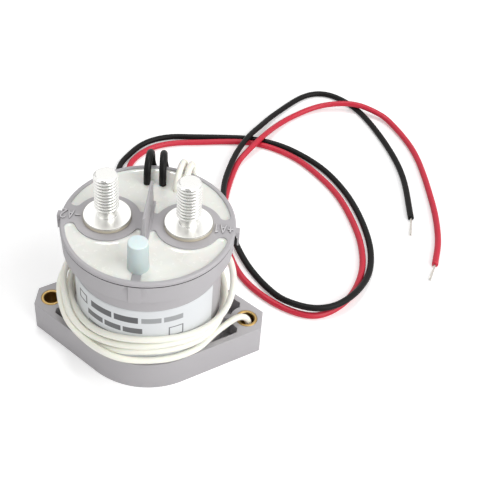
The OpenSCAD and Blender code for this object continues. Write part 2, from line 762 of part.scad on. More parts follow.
module return_spring() color(bright_metal) {
    seat = return_spring_wire + press_gap;
    tube(helix(return_spring_radius, plunger_top - plunger_well + seat, core_z + core_well - seat,
               return_spring_turns),
         return_spring_wire, spring_sides);
}

module fixed_core() color(steel_grey) {
    bore = shaft_radius + loose_gap;
    rotate_extrude() polygon([
        [spring_well_radius, core_z], [plunger_radius, core_z], [plunger_radius, plate_top],
        [bore, plate_top], [bore, core_z + core_well], [spring_well_radius, core_z + core_well]]);
}

module guide_sleeve() color(brass_yellow) {
    translate([0, 0, bobbin_z]) ring(guide_radius, guide_inner_radius, bobbin_height);
}

module coil_bobbin() color([0.90, 0.88, 0.82]) {
    low = bobbin_z + resin_gap;
    high = plate_z - resin_gap;
    rotate_extrude() polygon([
        [bobbin_inner_radius, low], [bobbin_flange_radius, low], [bobbin_flange_radius, low + bobbin_wall],
        [bobbin_tube_radius, low + bobbin_wall], [bobbin_tube_radius, high - bobbin_wall],
        [bobbin_flange_radius, high - bobbin_wall], [bobbin_flange_radius, high], [bobbin_inner_radius, high]]);
}

module coil_winding() color(copper) {
    low = bobbin_z + bobbin_wall + 2 * resin_gap;
    high = plate_z - bobbin_wall - 2 * resin_gap;
    translate([0, 0, low]) ring(winding_radius, winding_inner_radius, high - low);
}

module yoke_cup() color(steel_grey) {
    difference() {
        translate([0, 0, floor_thickness]) cylinder(r = yoke_radius, h = plate_z - floor_thickness);
        translate([0, 0, bobbin_z]) cylinder(r = yoke_radius - yoke_wall, h = bobbin_height + cut);
    }
}

module yoke_plate() color(steel_grey) {
    translate([0, 0, plate_z]) ring(yoke_radius, plunger_radius + press_gap, plate_thickness);
}

module bumper_pad() color(lead_black) {
    translate([0, 0, bobbin_z]) cylinder(r = plunger_radius - 2 * loose_gap, h = bumper_thickness);
}

// Block on the yoke plate with two clips that hold the reed switch
module reed_holder() color([0.90, 0.88, 0.82]) {
    grip = reed_radius + press_gap;
    width = 2 * (grip + reed_clip_wall);
    translate([0, reed_y, plate_top]) difference() {
        union() {
            translate([-reed_length / 2, -width / 2, 0]) cube([reed_length, width, reed_clip_wall]);
            for (side = [-1, 1])
                translate([side * reed_clip_spacing / 2 - reed_clip_length / 2, -width / 2, 0])
                    cube([reed_clip_length, width, reed_rise + grip / 2]);
        }
        translate([-reed_length, 0, reed_rise]) rotate([0, 90, 0]) cylinder(r = grip, h = 2 * reed_length);
    }
}

// Glass capsule with a wire at each end
module reed_switch() color([0.75, 0.82, 0.78]) {
    wire_radius = 0.35;
    wire_length = 3;
    translate([-reed_length / 2, reed_y, plate_top + reed_rise]) rotate([0, 90, 0]) {
        cylinder(r = reed_radius, h = reed_length);
        translate([0, 0, -wire_length]) cylinder(r = wire_radius, h = reed_length + 2 * wire_length);
    }
}

housing();
bushing_left();
bushing_right();
top_cover();
potting();
terminal_left();
terminal_right();
fill_tube();
tube_cap();
label();
lead_sleeves();
coil_lead_black();
coil_lead_red();
coil_lead_tips();
aux_lead_drops();
aux_lead_coil();
aux_lead_tail();
header();
arc_chamber();
blowout_magnet_front();
blowout_magnet_rear();
contact_bridge();
contact_spring();
spring_seat();
retaining_clip();
shaft();
plunger();
return_spring();
fixed_core();
guide_sleeve();
coil_bobbin();
coil_winding();
yoke_cup();
yoke_plate();
bumper_pad();
reed_holder();
reed_switch();
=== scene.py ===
"""Look of the high voltage dc contactor: materials, threads, leads, potting, print and the photo's stage."""

import json
import math

import bpy
import numpy as np
from mathutils import Matrix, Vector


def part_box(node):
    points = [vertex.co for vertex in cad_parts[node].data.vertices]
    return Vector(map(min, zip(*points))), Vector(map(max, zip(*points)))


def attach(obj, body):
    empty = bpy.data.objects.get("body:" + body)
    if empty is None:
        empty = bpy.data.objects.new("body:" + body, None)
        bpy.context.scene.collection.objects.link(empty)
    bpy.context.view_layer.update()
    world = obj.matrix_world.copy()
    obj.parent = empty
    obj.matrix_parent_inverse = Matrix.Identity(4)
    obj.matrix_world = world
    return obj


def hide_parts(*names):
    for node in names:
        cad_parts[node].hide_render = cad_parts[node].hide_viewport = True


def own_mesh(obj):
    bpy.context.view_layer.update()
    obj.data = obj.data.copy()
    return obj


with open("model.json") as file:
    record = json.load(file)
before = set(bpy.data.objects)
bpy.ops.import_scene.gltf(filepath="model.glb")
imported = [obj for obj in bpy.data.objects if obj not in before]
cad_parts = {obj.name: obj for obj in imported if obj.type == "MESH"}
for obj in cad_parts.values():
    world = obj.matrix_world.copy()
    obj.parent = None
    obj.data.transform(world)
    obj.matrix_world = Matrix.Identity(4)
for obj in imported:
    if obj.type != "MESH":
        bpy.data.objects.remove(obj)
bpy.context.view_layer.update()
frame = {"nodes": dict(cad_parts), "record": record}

bl_info = {
    "name": "DC contactor look",
    "version": (1, 0, 0),
    "blender": (4, 2, 0),
    "location": "View3D > Sidebar > Contactor",
    "description": "Builds the surfaces and materials of a high voltage dc contactor on its CAD frame",
    "category": "Object",
}

MM = 0.001


def node_box(node):
    """Low and high corner of a CAD node's box, in millimetres."""
    return np.array(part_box(node)) / MM


# Sizes that pieces share with the solids, in millimetres.
COVER_TOP = 63.8
POTTING_TOP = node_box("potting")[1, 2]
RIM_INNER = 32.15
SEAM_Z = node_box("housing")[1, 2]
SEAM_GROOVE = 0.5
SEAM_INNER = 33.0
SEAM_OUTER = 33.98
TERMINAL_X = node_box("terminal_right")[:, 0].mean()
BODY_RADIUS = 29.6
TUBE_Y = node_box("tube_cap")[:, 1].mean()
SPOKE_HALF = 1.65

# Coil leads from the sleeves' lower ends, down behind the body and over the floor, in millimetres.
BLACK_ROUTE = [
    (-2, 35.8, 50), (-2.4, 36.2, 40), (-5, 39, 27), (-10, 46, 14), (-18, 58, 5), (-26.5, 78, 1.5),
    (-30, 102, 1.5), (-27, 113, 1.5), (-20, 124.5, 1.5), (-9, 131, 1.5), (5, 133, 1.5), (20, 134.8, 1.5),
    (34, 135.6, 1.5), (48, 132.5, 1.5), (60, 126, 1.5), (72, 115.5, 1.5), (82, 101, 1.5), (89, 85, 1.5),
    (93.5, 68, 1.5), (94.5, 54, 1.5), (92.3, 41.5, 2.6), (86, 28.5, 4.7), (78, 20.8, 4.9), (69, 18.2, 4.9),
    (60, 20, 4.8), (53.5, 25, 3), (46, 34, 1.5), (39.5, 43, 1.5), (33, 55, 2.6), (26, 73, 4.6),
    (23.5, 92, 4.6), (25, 108, 4.4), (28, 121.5, 4.6), (32.8, 134, 4.8), (38, 145, 3.4), (44, 157, 1.8),
    (58, 175.5, 1.5), (69, 180.5, 1.5), (80, 176, 1.5), (91, 164, 1.5), (103, 140, 1.5), (110.5, 116, 1.5),
    (113.5, 86, 1.5),
]
RED_ROUTE = [
    (2.9, 35.8, 50), (2.6, 36.2, 40), (0.5, 39, 27), (-4, 46, 14), (-11, 58, 5), (-19.5, 78, 1.5),
    (-25, 102, 1.5), (-22.5, 113, 1.5), (-15.5, 121.5, 1.5), (-5, 126.5, 1.5), (8, 129, 1.5),
    (21, 131.4, 1.5), (33, 132.4, 1.5), (46, 129.2, 1.5), (59, 121.5, 1.5), (70, 110, 1.5), (79, 97, 1.5),
    (86, 80, 1.5), (90, 64, 1.5), (90.5, 48, 1.5), (86.5, 33, 1.5), (79.5, 22.8, 1.5), (70.5, 17, 1.5),
    (60, 18.4, 1.5), (48, 25, 1.5), (37, 36, 1.5), (29.5, 52, 1.5), (25.5, 70, 1.5), (25, 90, 1.5),
    (28, 113, 1.6), (32.6, 122.5, 3.4), (39.2, 133.6, 4.7), (45, 145, 3), (53, 156.5, 1.6), (65, 166, 2.4),
    (76, 169, 3.9), (87, 168.8, 4.7), (97, 165.2, 3.6), (105, 159, 2.2), (117, 135.5, 1.5), (124, 99, 1.5),
    (125.5, 74, 1.5), (123.2, 56, 1.5),
]
# First and last point of each lead's bare strands.
TIPS = [[(113.5, 86, 1.5), (113, 74.5, 0.8)], [(123.2, 56, 1.5), (120.5, 46.5, 0.8)]]

# Foot, bend behind the rim and lower end of each sleeve, in x and y.
SLEEVES = [((-3.7, 23.4), (-3.6, 35.8), (-2, 35.8)), ((2.6, 23.4), (1.5, 35.8), (2.9, 35.8))]
SLEEVE_RADIUS = 1.5
SLEEVE_BEND_Z = 65.6
SLEEVE_STRAIGHT_Z = 56
SLEEVE_END_Z = 50
LEAD_IN_SLEEVE = 6

# Auxiliary leads: drops in x, y, z, then turns round the body as angle in degrees, radius and height.
AUX_DROPS = [
    [(8.4, 20.5, 62.2), (8.4, 20.5, 64.5), (8.7, 24, 67.2), (9.4, 30, 68), (10, 34.9, 66.2),
     (10.2, 36.2, 60), (9.8, 35.2, 47)],
    [(11.8, 19.8, 62.2), (11.8, 19.8, 64.5), (12.1, 23.2, 67.2), (12.8, 29.2, 68), (13.4, 34, 66.2),
     (13.6, 35.2, 60), (13.8, 34.4, 48)],
]
AUX_TURNS = [
    [(76, 34.4, 41.4), (81, 33.2, 37.3), (89, 32.2, 34.9), (101, 31.5, 33.6), (120, 31.3, 32.8),
     (140, 31.2, 32.2), (160, 31.5, 31.2), (180, 31.9, 30), (198, 32, 28.5), (215, 31.5, 27),
     (236, 31.2, 27.2), (256, 31.2, 28.9), (275, 31.2, 29.9), (295, 31.2, 29.3), (315, 31.5, 27.6),
     (332, 32.5, 26.8), (346, 33.8, 27.6), (360, 34.8, 31.5), (375, 34.4, 35.6), (392, 33, 37),
     (410, 31.8, 34.6), (426, 31.3, 31.7), (442, 31.2, 30.6), (462, 31.2, 29.4), (480, 31.5, 28.7),
     (500, 33, 29.3), (515, 34.2, 30.6), (530, 34.5, 32), (545, 34.5, 32.4), (560, 34.3, 30.2),
     (574, 34.6, 27.2), (583, 33.8, 25.1), (593, 32.4, 23.8), (607, 31.3, 23.9), (625, 31.2, 25.5),
     (642, 31.2, 26.3), (657, 31.2, 26.2), (673, 31.2, 25), (690, 31.2, 23.7), (705, 31.6, 23.3),
     (720, 31.8, 24.9), (740, 31.4, 26.8), (762, 31.3, 27.6)],
    [(66, 34.7, 41), (68, 34.4, 34), (73, 34.2, 29), (82, 33, 25.6), (97, 31.6, 24.2), (120, 31.2, 24),
     (150, 31.2, 24), (170, 31.2, 23.7), (188, 31.3, 22.8), (207, 31.5, 20.6), (230, 31.2, 18.8),
     (250, 31.2, 20.4), (265, 31.2, 22.2), (280, 31.2, 23.1), (297, 31.2, 22.8), (314, 31.2, 21.7),
     (331, 31.2, 20.6), (350, 31.4, 20.4), (372, 31.4, 21), (400, 31.3, 21.5), (430, 31.2, 21),
     (458, 31.2, 20.6), (480, 31.6, 20.8), (495, 33.1, 21.5), (508, 34.3, 23.5), (521, 35.1, 26.1),
     (535, 35.8, 28.2), (548, 36.2, 28.7), (561, 36.2, 27.4), (575, 35.9, 24.2), (590, 34.3, 21.3),
     (607, 34.2, 20.6), (617, 33.6, 19.5), (628, 32.5, 18.6), (640, 31.6, 18), (654, 31.3, 17.4),
     (668, 31.4, 17.2), (680, 31.7, 17.1)],
]
# The second lead's end, which goes into the right bushing.
AUX_TAIL = [(29.2, -12.4, 17.1), (33.9, -6.4, 17), (37.2, -2.9, 17.3), (39.8, -1.3, 16.9),
            (41.6, -0.8, 15.2), (42.3, -0.6, 13), (42.4, -0.6, 10)]


def length_setting(name, description, default, low, high):
    """Length property, given in millimetres."""
    return bpy.props.FloatProperty(
        name=name, description=description, default=default * MM, min=low * MM, max=high * MM,
        subtype="DISTANCE", unit="LENGTH")


def color_setting(name, description, default):
    """Colour property."""
    return bpy.props.FloatVectorProperty(
        name=name, description=description, default=default, min=0.0, max=1.0, size=3, subtype="COLOR")


class ContactorLook(bpy.types.PropertyGroup):
    """Sizes and colours that a user may change."""

    thread_pitch: length_setting("Thread pitch", "Pitch of the stud threads", 1.5, 0.5, 2)
    lead_diameter: length_setting("Coil lead diameter", "Outside diameter of the coil leads", 2.9, 1, 4)
    aux_diameter: length_setting("Auxiliary lead diameter", "Outside diameter of the white leads", 2.7, 1, 4)
    edge_radius: length_setting("Edge radius", "Radius that shading gives to moulded edges", 0.3, 0, 1)
    meniscus: length_setting("Meniscus", "Height that the potting creeps up its walls", 0.55, 0, 1)
    mark_height: length_setting("Mark height", "Height of the raised polarity marks", 0.6, 0.1, 0.8)
    body_color: color_setting("Body colour", "Moulded case and cover", (0.45, 0.435, 0.45))
    potting_color: color_setting("Potting colour", "Resin in the cover", (0.83, 0.83, 0.78))
    cap_color: color_setting("Cap colour", "Cap of the evacuation tube", (0.75, 0.87, 0.87))
    label_color: color_setting("Label colour", "Film of the label", (0.72, 0.74, 0.755))
    black_color: color_setting("Black lead colour", "Black lead and sleeves", (0.009, 0.0085, 0.0085))
    red_color: color_setting("Red lead colour", "Red lead", (0.58, 0.015, 0.042))
    aux_color: color_setting("Auxiliary lead colour", "White auxiliary leads", (0.95, 0.945, 0.85))


def look():
    """Settings of the current scene."""
    return bpy.context.scene.contactor_look


# Surfaces


def grid_faces(rows, cols, wrap):
    """Quads of a rows by cols grid of vertices; wrap closes the columns into a ring."""
    r, c = np.meshgrid(np.arange(rows - 1), np.arange(cols if wrap else cols - 1), indexing="ij")
    n = (c + 1) % cols
    quads = np.stack([r * cols + c, r * cols + n, (r + 1) * cols + n, (r + 1) * cols + c], axis=-1)
    return quads.reshape(-1, 4)


def signed_volume(points, faces):
    """Sum of a . (b x c) over the fans of the faces, six times the volume; positive if they face outwards."""
    a, b, c = points[faces[:, :1]], points[faces[:, 1:-1]], points[faces[:, 2:]]
    return float((a * np.cross(b, c)).sum())


def add_mesh(name, verts, faces, material, body="frame", values=None):
    """One smooth object at the origin from vertices in millimetres; values holds their float attributes."""
    mesh = bpy.data.meshes.new(name)
    mesh.from_pydata((verts * MM).tolist(), [], faces)
    for key, value in (values or {}).items():
        mesh.attributes.new(key, "FLOAT", "POINT").data.foreach_set("value", value)
    mesh.polygons.foreach_set("use_smooth", np.ones(len(mesh.polygons), dtype=bool))
    mesh.materials.append(material)
    mesh.update()
    obj = bpy.data.objects.new(name, mesh)
    bpy.context.scene.collection.objects.link(obj)
    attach(obj, body)
    return obj


def add_piece(name, patches, material, body="frame", closed=True, marks=None):
    """One object from grids given in millimetres as (points[rows, cols, 3], wrap, caps).

    marks maps the name of a float attribute to one array per patch of shape [rows, cols].
    """
    verts, faces, values, count = [], [], {}, 0
    for points, wrap, caps in patches:
        rows, cols = points.shape[:2]
        local = points.reshape(-1, 3)
        groups = [grid_faces(rows, cols, wrap)]
        if caps:
            ring = np.arange(cols)
            groups.append(np.stack([ring[::-1], ring + (rows - 1) * cols]))
        centred = local - local.mean(axis=0)
        inward = closed and sum(signed_volume(centred, g) for g in groups) < 0
        for g in groups:
            faces += ((g[:, ::-1] if inward else g) + count).tolist()
        verts.append(local)
        count += len(local)
    for key, parts in (marks or {}).items():
        values[key] = np.concatenate([np.asarray(part, dtype=np.float32).reshape(-1) for part in parts])
    return add_mesh(name, np.concatenate(verts), faces, material, body, values)


def rounded_profile(corners, steps=5):
    """Profile points from corners (r, z, fillet): each corner becomes an arc that touches both its edges."""
    pts = np.array([c[:2] for c in corners], dtype=float)
    out = []
    for i, p in enumerate(pts):
        fillet = corners[i][2]
        if fillet <= 0 or i in (0, len(pts) - 1):
            out.append(p)
            continue
        a = (pts[i - 1] - p) / np.linalg.norm(pts[i - 1] - p)
        b = (pts[i + 1] - p) / np.linalg.norm(pts[i + 1] - p)
        half = 0.5 * math.acos(float(np.clip(np.dot(a, b), -1, 1)))
        reach = fillet / math.tan(half)
        mid = (a + b) / np.linalg.norm(a + b)
        centre = p + mid * fillet / math.sin(half)
        start, end = p + a * reach - centre, p + b * reach - centre
        turn = math.atan2(start[0] * end[1] - start[1] * end[0], float(np.dot(start, end)))
        t = turn * np.linspace(0, 1, steps + 1)[:, None]
        out.append(centre + np.cos(t) * start + np.sin(t) * np.array([-start[1], start[0]]))
    return np.vstack(out)


def lathe(profile, x, y, sides=96):
    """Surface of revolution (x + r cos a, y + r sin a, z) of profile points (r, z)."""
    a = np.linspace(0, 2 * np.pi, sides, endpoint=False)
    r, z = profile[:, :1], np.broadcast_to(profile[:, 1:], (len(profile), sides))
    return np.stack([x + r * np.cos(a), y + r * np.sin(a), z], axis=-1)


def eased(points, count=24):
    """Catmull-Rom curve through the points, with this many steps from one to the next."""
    p = np.array(points, dtype=float)
    ends = np.vstack([2 * p[0] - p[1], p, 2 * p[-1] - p[-2]])
    t = np.linspace(0, 1, count, endpoint=False)[None, :, None]
    a, b, c, d = (ends[k: len(p) - 1 + k, None, :] for k in range(4))
    bend, twist = 2 * a - 5 * b + 4 * c - d, 3 * b - a - 3 * c + d
    parts = 0.5 * (2 * b + (c - a) * t + bend * t ** 2 + twist * t ** 3)
    return np.vstack([parts.reshape(-1, 3), p[-1:]])


def lengths_along(curve):
    """Length along the curve up to each of its points."""
    return np.r_[0, np.cumsum(np.linalg.norm(np.diff(curve, axis=0), axis=1))]


def even_steps(curve, step):
    """Points at equal steps along a curve."""
    far = lengths_along(curve)
    even = np.linspace(0, far[-1], max(2, int(round(far[-1] / step)) + 1))
    return np.stack([np.interp(even, far, curve[:, k]) for k in range(3)], axis=1)


def smooth_route(points, step=1.0, floor=None, soften=0):
    """Eased curve through the points, at equal steps along it, never lower than floor.

    soften counts the passes of the average (p[i-1] + 2 p[i] + p[i+1]) / 4 that round off tight bends.
    """
    curve = even_steps(eased(points), step)
    for _ in range(soften):
        curve[1:-1] = (curve[:-2] + 2 * curve[1:-1] + curve[2:]) / 4
    if floor is not None:
        curve[:, 2] = np.maximum(curve[:, 2], floor)
    return even_steps(curve, step)


def carried_frames(route):
    """Tangent and two normals at each point; the normals are carried along without twisting.

    The first normal starts from a slanted direction that the first tangent doesn't follow.
    """
    tangent = np.gradient(route, axis=0)
    tangent /= np.linalg.norm(tangent, axis=1)[:, None]
    seed = np.array([0.31, 0.17, 0.93]) if abs(tangent[0][2]) < 0.8 else np.array([0.93, 0.31, 0.17])
    first = np.empty_like(route)
    for i, t in enumerate(tangent):
        seed = seed - t * np.dot(seed, t)
        seed /= np.linalg.norm(seed)
        first[i] = seed
    return tangent, first, np.cross(tangent, first)


def tube(route, radius, sides=16, tips=0.25):
    """Round tube c(s) + r(s) (cos a n + sin a b), with edges rounded at both ends over the length tips."""
    tangent, n, b = carried_frames(route)
    a = np.linspace(0, 2 * np.pi, sides, endpoint=False)
    circle = np.cos(a)[None, :, None] * n[:, None, :] + np.sin(a)[None, :, None] * b[:, None, :]
    body = route[:, None, :] + radius * circle
    if tips > 0:
        tuck = 0.6 * tips
        first = route[0] + (radius - tips) * circle[0]
        last = route[-1] + (radius - tips) * circle[-1]
        body[0] += tangent[0] * tuck
        body[-1] -= tangent[-1] * tuck
        body = np.concatenate([first[None], body, last[None]])
    return body


# Shader groups and materials


def shader_group(name, inputs, outputs):
    """Empty node group with these sockets: (name, type, default)."""
    group = bpy.data.node_groups.new(name, "ShaderNodeTree")
    for label, kind, default in inputs:
        sock = group.interface.new_socket(name=label, in_out="INPUT", socket_type=kind)
        if default is not None:
            sock.default_value = default
    for label, kind in outputs:
        group.interface.new_socket(name=label, in_out="OUTPUT", socket_type=kind)
    return group, group.nodes.new("NodeGroupInput").outputs, group.nodes.new("NodeGroupOutput").inputs


def calc(tree, op, a, b=None, c=None, clamp=False):
    """Math node; each operand is a socket or a number."""
    node = tree.nodes.new("ShaderNodeMath")
    node.operation = op
    node.use_clamp = clamp
    for sock, value in zip(node.inputs, (a, b, c)):
        if isinstance(value, bpy.types.NodeSocket):
            tree.links.new(value, sock)
        elif value is not None:
            sock.default_value = value
    return node.outputs[0]


def noise(tree, vector, scale, detail, rough):
    """Noise texture's factor at this scale, in waves per metre."""
    node = tree.nodes.new("ShaderNodeTexNoise")
    tree.links.new(vector, node.inputs["Vector"])
    if isinstance(scale, bpy.types.NodeSocket):
        tree.links.new(scale, node.inputs["Scale"])
    else:
        node.inputs["Scale"].default_value = scale
    node.inputs["Detail"].default_value = detail
    node.inputs["Roughness"].default_value = rough
    return node.outputs["Fac"]


def grain_group():
    """Moulded grain: fine height, broad tone about 1 and a wear value for roughness."""
    group, i, o = shader_group(
        "Moulded grain",
        [("Vector", "NodeSocketVector", None), ("Scale", "NodeSocketFloat", 3000.0),
         ("Tone range", "NodeSocketFloat", 0.08)],
        [("Height", "NodeSocketFloat"), ("Tone", "NodeSocketFloat"), ("Wear", "NodeSocketFloat")])
    fine = noise(group, i["Vector"], i["Scale"], 4.0, 0.6)
    broad = noise(group, i["Vector"], 60.0, 3.0, 0.5)
    middle = noise(group, i["Vector"], 420.0, 4.0, 0.6)
    both = calc(group, "ADD", calc(group, "MULTIPLY", broad, 0.6), calc(group, "MULTIPLY", middle, 0.4))
    swing = calc(group, "MULTIPLY", calc(group, "SUBTRACT", both, 0.5), i["Tone range"])
    group.links.new(fine, o["Height"])
    group.links.new(calc(group, "ADD", swing, 1.0), o["Tone"])
    group.links.new(calc(group, "SUBTRACT", middle, 0.5), o["Wear"])
    return group


def rings_group():
    """Turning marks: height that rises and falls with the distance from the axis, with a slower beat."""
    beat, beat_height = 2.39, 0.6
    group, i, o = shader_group(
        "Turning marks",
        [("Radius", "NodeSocketFloat", 0.0), ("Spacing", "NodeSocketFloat", 0.22)],
        [("Height", "NodeSocketFloat")])
    turns = calc(group, "DIVIDE", i["Radius"], i["Spacing"])
    wave = calc(group, "SINE", calc(group, "MULTIPLY", turns, 2 * math.pi))
    slow = calc(group, "SINE", calc(group, "MULTIPLY", turns, beat))
    group.links.new(calc(group, "ADD", wave, calc(group, "MULTIPLY", slow, beat_height)), o["Height"])
    return group


def field_group():
    """Printed field: 1 inside a rectangle of the label's arc length and height, with soft ink edges."""
    edge = 12.0
    group, i, o = shader_group(
        "Printed field",
        [(n, "NodeSocketFloat", 0.0) for n in ("Along", "Height", "Left", "Right", "Low", "High")],
        [("Mask", "NodeSocketFloat")])
    mask = 1.0
    for low, high, at in (("Left", "Right", "Along"), ("Low", "High", "Height")):
        inner = calc(group, "MULTIPLY", calc(group, "SUBTRACT", i[at], i[low]), edge, clamp=True)
        outer = calc(group, "MULTIPLY", calc(group, "SUBTRACT", i[high], i[at]), edge, clamp=True)
        mask = calc(group, "MULTIPLY", mask, calc(group, "MULTIPLY", inner, outer))
    group.links.new(mask, o["Mask"])
    return group


GROUPS = {}


def use_group(tree, name):
    """Node that uses one of the shared groups, made when first asked for."""
    makers = {"grain": grain_group, "rings": rings_group, "field": field_group}
    if name not in GROUPS:
        GROUPS[name] = makers[name]()
    node = tree.nodes.new("ShaderNodeGroup")
    node.node_tree = GROUPS[name]
    return node


def scaled_color(tree, color, factor):
    """Colour times a factor socket."""
    mix = tree.nodes.new("ShaderNodeMix")
    mix.data_type = "RGBA"
    mix.blend_type = "MULTIPLY"
    mix.inputs["Factor"].default_value = 1.0
    mix.inputs["A"].default_value = (*color, 1.0)
    tree.links.new(factor, mix.inputs["B"])
    return mix.outputs["Result"]


def mix_into(tree, sock, factor, color):
    """Mix a colour into what feeds a socket, by a factor socket."""
    mix = tree.nodes.new("ShaderNodeMix")
    mix.data_type = "RGBA"
    tree.links.new(factor, mix.inputs["Factor"])
    tree.links.new(sock.links[0].from_socket, mix.inputs["A"])
    mix.inputs["B"].default_value = (*color, 1.0)
    tree.links.new(mix.outputs["Result"], sock)


def attribute(tree, name):
    """Socket of a float attribute, which is 0 on meshes that lack it."""
    node = tree.nodes.new("ShaderNodeAttribute")
    node.attribute_name = name
    return node.outputs["Fac"]


def object_place(tree):
    """Sockets of the object coordinates' y and z, and of the distance from the z axis."""
    split = tree.nodes.new("ShaderNodeSeparateXYZ")
    tree.links.new(tree.nodes.new("ShaderNodeTexCoord").outputs["Object"], split.inputs[0])
    x, y, z = split.outputs
    far = calc(tree, "SQRT", calc(tree, "MULTIPLY_ADD", x, x, calc(tree, "MULTIPLY", y, y)))
    return y, z, far


COAT_ROUGHNESS = 0.08
SUBSURFACE_SCALE = 1.5 * MM
GRAIN_DEPTH = 0.05 * MM
BEVEL_SAMPLES = 8


def surface(name, color, rough, metal=0.0, coat=0.0, grain=3000.0, bump=0.1, tone=0.08, edge=False,
            subsurface=0.0, wear=0.2, specular=0.5):
    """Material with grain on object coordinates; edge rounds sharp edges and the shade attribute darkens."""
    mat = bpy.data.materials.new(name)
    mat.use_nodes = True
    tree = mat.node_tree
    bsdf = tree.nodes["Principled BSDF"]
    for key, value in (("Metallic", metal), ("Coat Weight", coat), ("Coat Roughness", COAT_ROUGHNESS),
                       ("Specular IOR Level", specular), ("Subsurface Weight", subsurface),
                       ("Subsurface Scale", SUBSURFACE_SCALE)):
        bsdf.inputs[key].default_value = value
    coords = tree.nodes.new("ShaderNodeTexCoord").outputs["Object"]
    node = use_group(tree, "grain")
    tree.links.new(coords, node.inputs["Vector"])
    node.inputs["Scale"].default_value = grain
    node.inputs["Tone range"].default_value = tone
    light = calc(tree, "SUBTRACT", 1.0, attribute(tree, "shade"), clamp=True)
    light = calc(tree, "MULTIPLY", node.outputs["Tone"], light)
    tree.links.new(scaled_color(tree, color, light), bsdf.inputs["Base Color"])
    worn = calc(tree, "MULTIPLY_ADD", node.outputs["Wear"], wear, rough, clamp=True)
    tree.links.new(worn, bsdf.inputs["Roughness"])
    bumps = tree.nodes.new("ShaderNodeBump")
    bumps.inputs["Strength"].default_value = bump
    bumps.inputs["Distance"].default_value = GRAIN_DEPTH
    tree.links.new(node.outputs["Height"], bumps.inputs["Height"])
    if edge:
        bevel = tree.nodes.new("ShaderNodeBevel")
        bevel.samples = BEVEL_SAMPLES
        bevel.inputs["Radius"].default_value = look().edge_radius
        tree.links.new(bevel.outputs["Normal"], bumps.inputs["Normal"])
    tree.links.new(bumps.outputs["Normal"], bsdf.inputs["Normal"])
    return mat


def turned_metal(name, color, bare, rough):
    """Bright plating with turning marks along the radius attribute.

    The painted warm reflection, a less metallic tan, comes in by its attribute, and the satin attribute dulls
    the plating.
    """
    # The colour bare is the tan of that painted warm reflection.
    plated_metallic, reflection_metallic, satin_rough = 0.8, 0.3, 0.22
    ring_strength, ring_depth = 0.05, 0.01 * MM
    mat = surface(name, color, rough, grain=900.0, tone=0.02, wear=0.03)
    tree = mat.node_tree
    bsdf = tree.nodes["Principled BSDF"]
    bumps = next(n for n in tree.nodes if n.type == "BUMP")
    rings = use_group(tree, "rings")
    tree.links.new(attribute(tree, "radius"), rings.inputs["Radius"])
    tree.links.new(rings.outputs["Height"], bumps.inputs["Height"])
    bumps.inputs["Strength"].default_value = ring_strength
    bumps.inputs["Distance"].default_value = ring_depth
    warm_reflection = attribute(tree, "warm_reflection")
    mix_into(tree, bsdf.inputs["Base Color"], warm_reflection, bare)
    metallic = calc(tree, "MULTIPLY_ADD", warm_reflection, reflection_metallic - plated_metallic, plated_metallic)
    tree.links.new(metallic, bsdf.inputs["Metallic"])
    worn = bsdf.inputs["Roughness"].links[0].from_socket
    dull = calc(tree, "MULTIPLY_ADD", attribute(tree, "satin"), satin_rough, worn, clamp=True)
    tree.links.new(dull, bsdf.inputs["Roughness"])
    return mat


# A colour given as a word is the setting of that name.
FINISHES = {
    "grey_plastic": dict(color="body_color", rough=0.46, edge=True, bump=0.2),
    # Lighter plastic of the polarity marks, a painted highlight.
    "highlit_mark_plastic": dict(color=(0.60, 0.585, 0.60), rough=0.34),
    "brass": dict(color=(0.46, 0.31, 0.12), rough=0.38, metal=1.0, edge=True, tone=0.35),
    "resin": dict(color="potting_color", rough=0.25, coat=0.8, grain=300.0, bump=0.01, tone=0.04,
                  subsurface=0.15),
    "plated_copper": dict(color=(0.82, 0.81, 0.79), rough=0.24, metal=1.0, bump=0.05, tone=0.05),
    "copper": dict(color=(0.60, 0.28, 0.14), rough=0.3, metal=1.0, tone=0.2),
    "cap_vinyl": dict(color="cap_color", rough=0.42, bump=0.08, tone=0.06, subsurface=0.25),
    "label_film": dict(color="label_color", rough=0.35, bump=0.05, tone=0.03),
    "black_jacket": dict(color="black_color", rough=0.40, grain=1500.0, bump=0.12, tone=0.4, specular=0.16),
    "red_jacket": dict(color="red_color", rough=0.42, grain=1500.0, bump=0.12, tone=0.12, subsurface=0.05),
    "white_jacket": dict(color="aux_color", rough=0.45, grain=1500.0, tone=0.05, subsurface=0.1),
    "tinned_wire": dict(color=(0.70, 0.67, 0.62), rough=0.32, metal=1.0, tone=0.2),
    "ceramic": dict(color=(0.80, 0.77, 0.70), rough=0.6),
    "magnet": dict(color=(0.22, 0.22, 0.24), rough=0.5, metal=0.6),
    "spring_steel": dict(color=(0.62, 0.62, 0.62), rough=0.28, metal=1.0),
    "soft_iron": dict(color=(0.45, 0.46, 0.47), rough=0.38, metal=1.0),
    "bobbin_plastic": dict(color=(0.82, 0.79, 0.70), rough=0.5),
    "pad_rubber": dict(color=(0.03, 0.03, 0.03), rough=0.7),
    "reed_glass": dict(color=(0.75, 0.85, 0.80), rough=0.08, coat=0.5),
}
MATERIALS = {}


def finished_surface(name, slot):
    """New material with the values of a finish."""
    values = dict(FINISHES[slot])
    if isinstance(values["color"], str):
        values["color"] = getattr(look(), values["color"])
    return surface(name, **values)


def finish(slot):
    """Material of a finish, made when first asked for."""
    if slot not in MATERIALS:
        MATERIALS[slot] = finished_surface(slot, slot)
    return MATERIALS[slot]


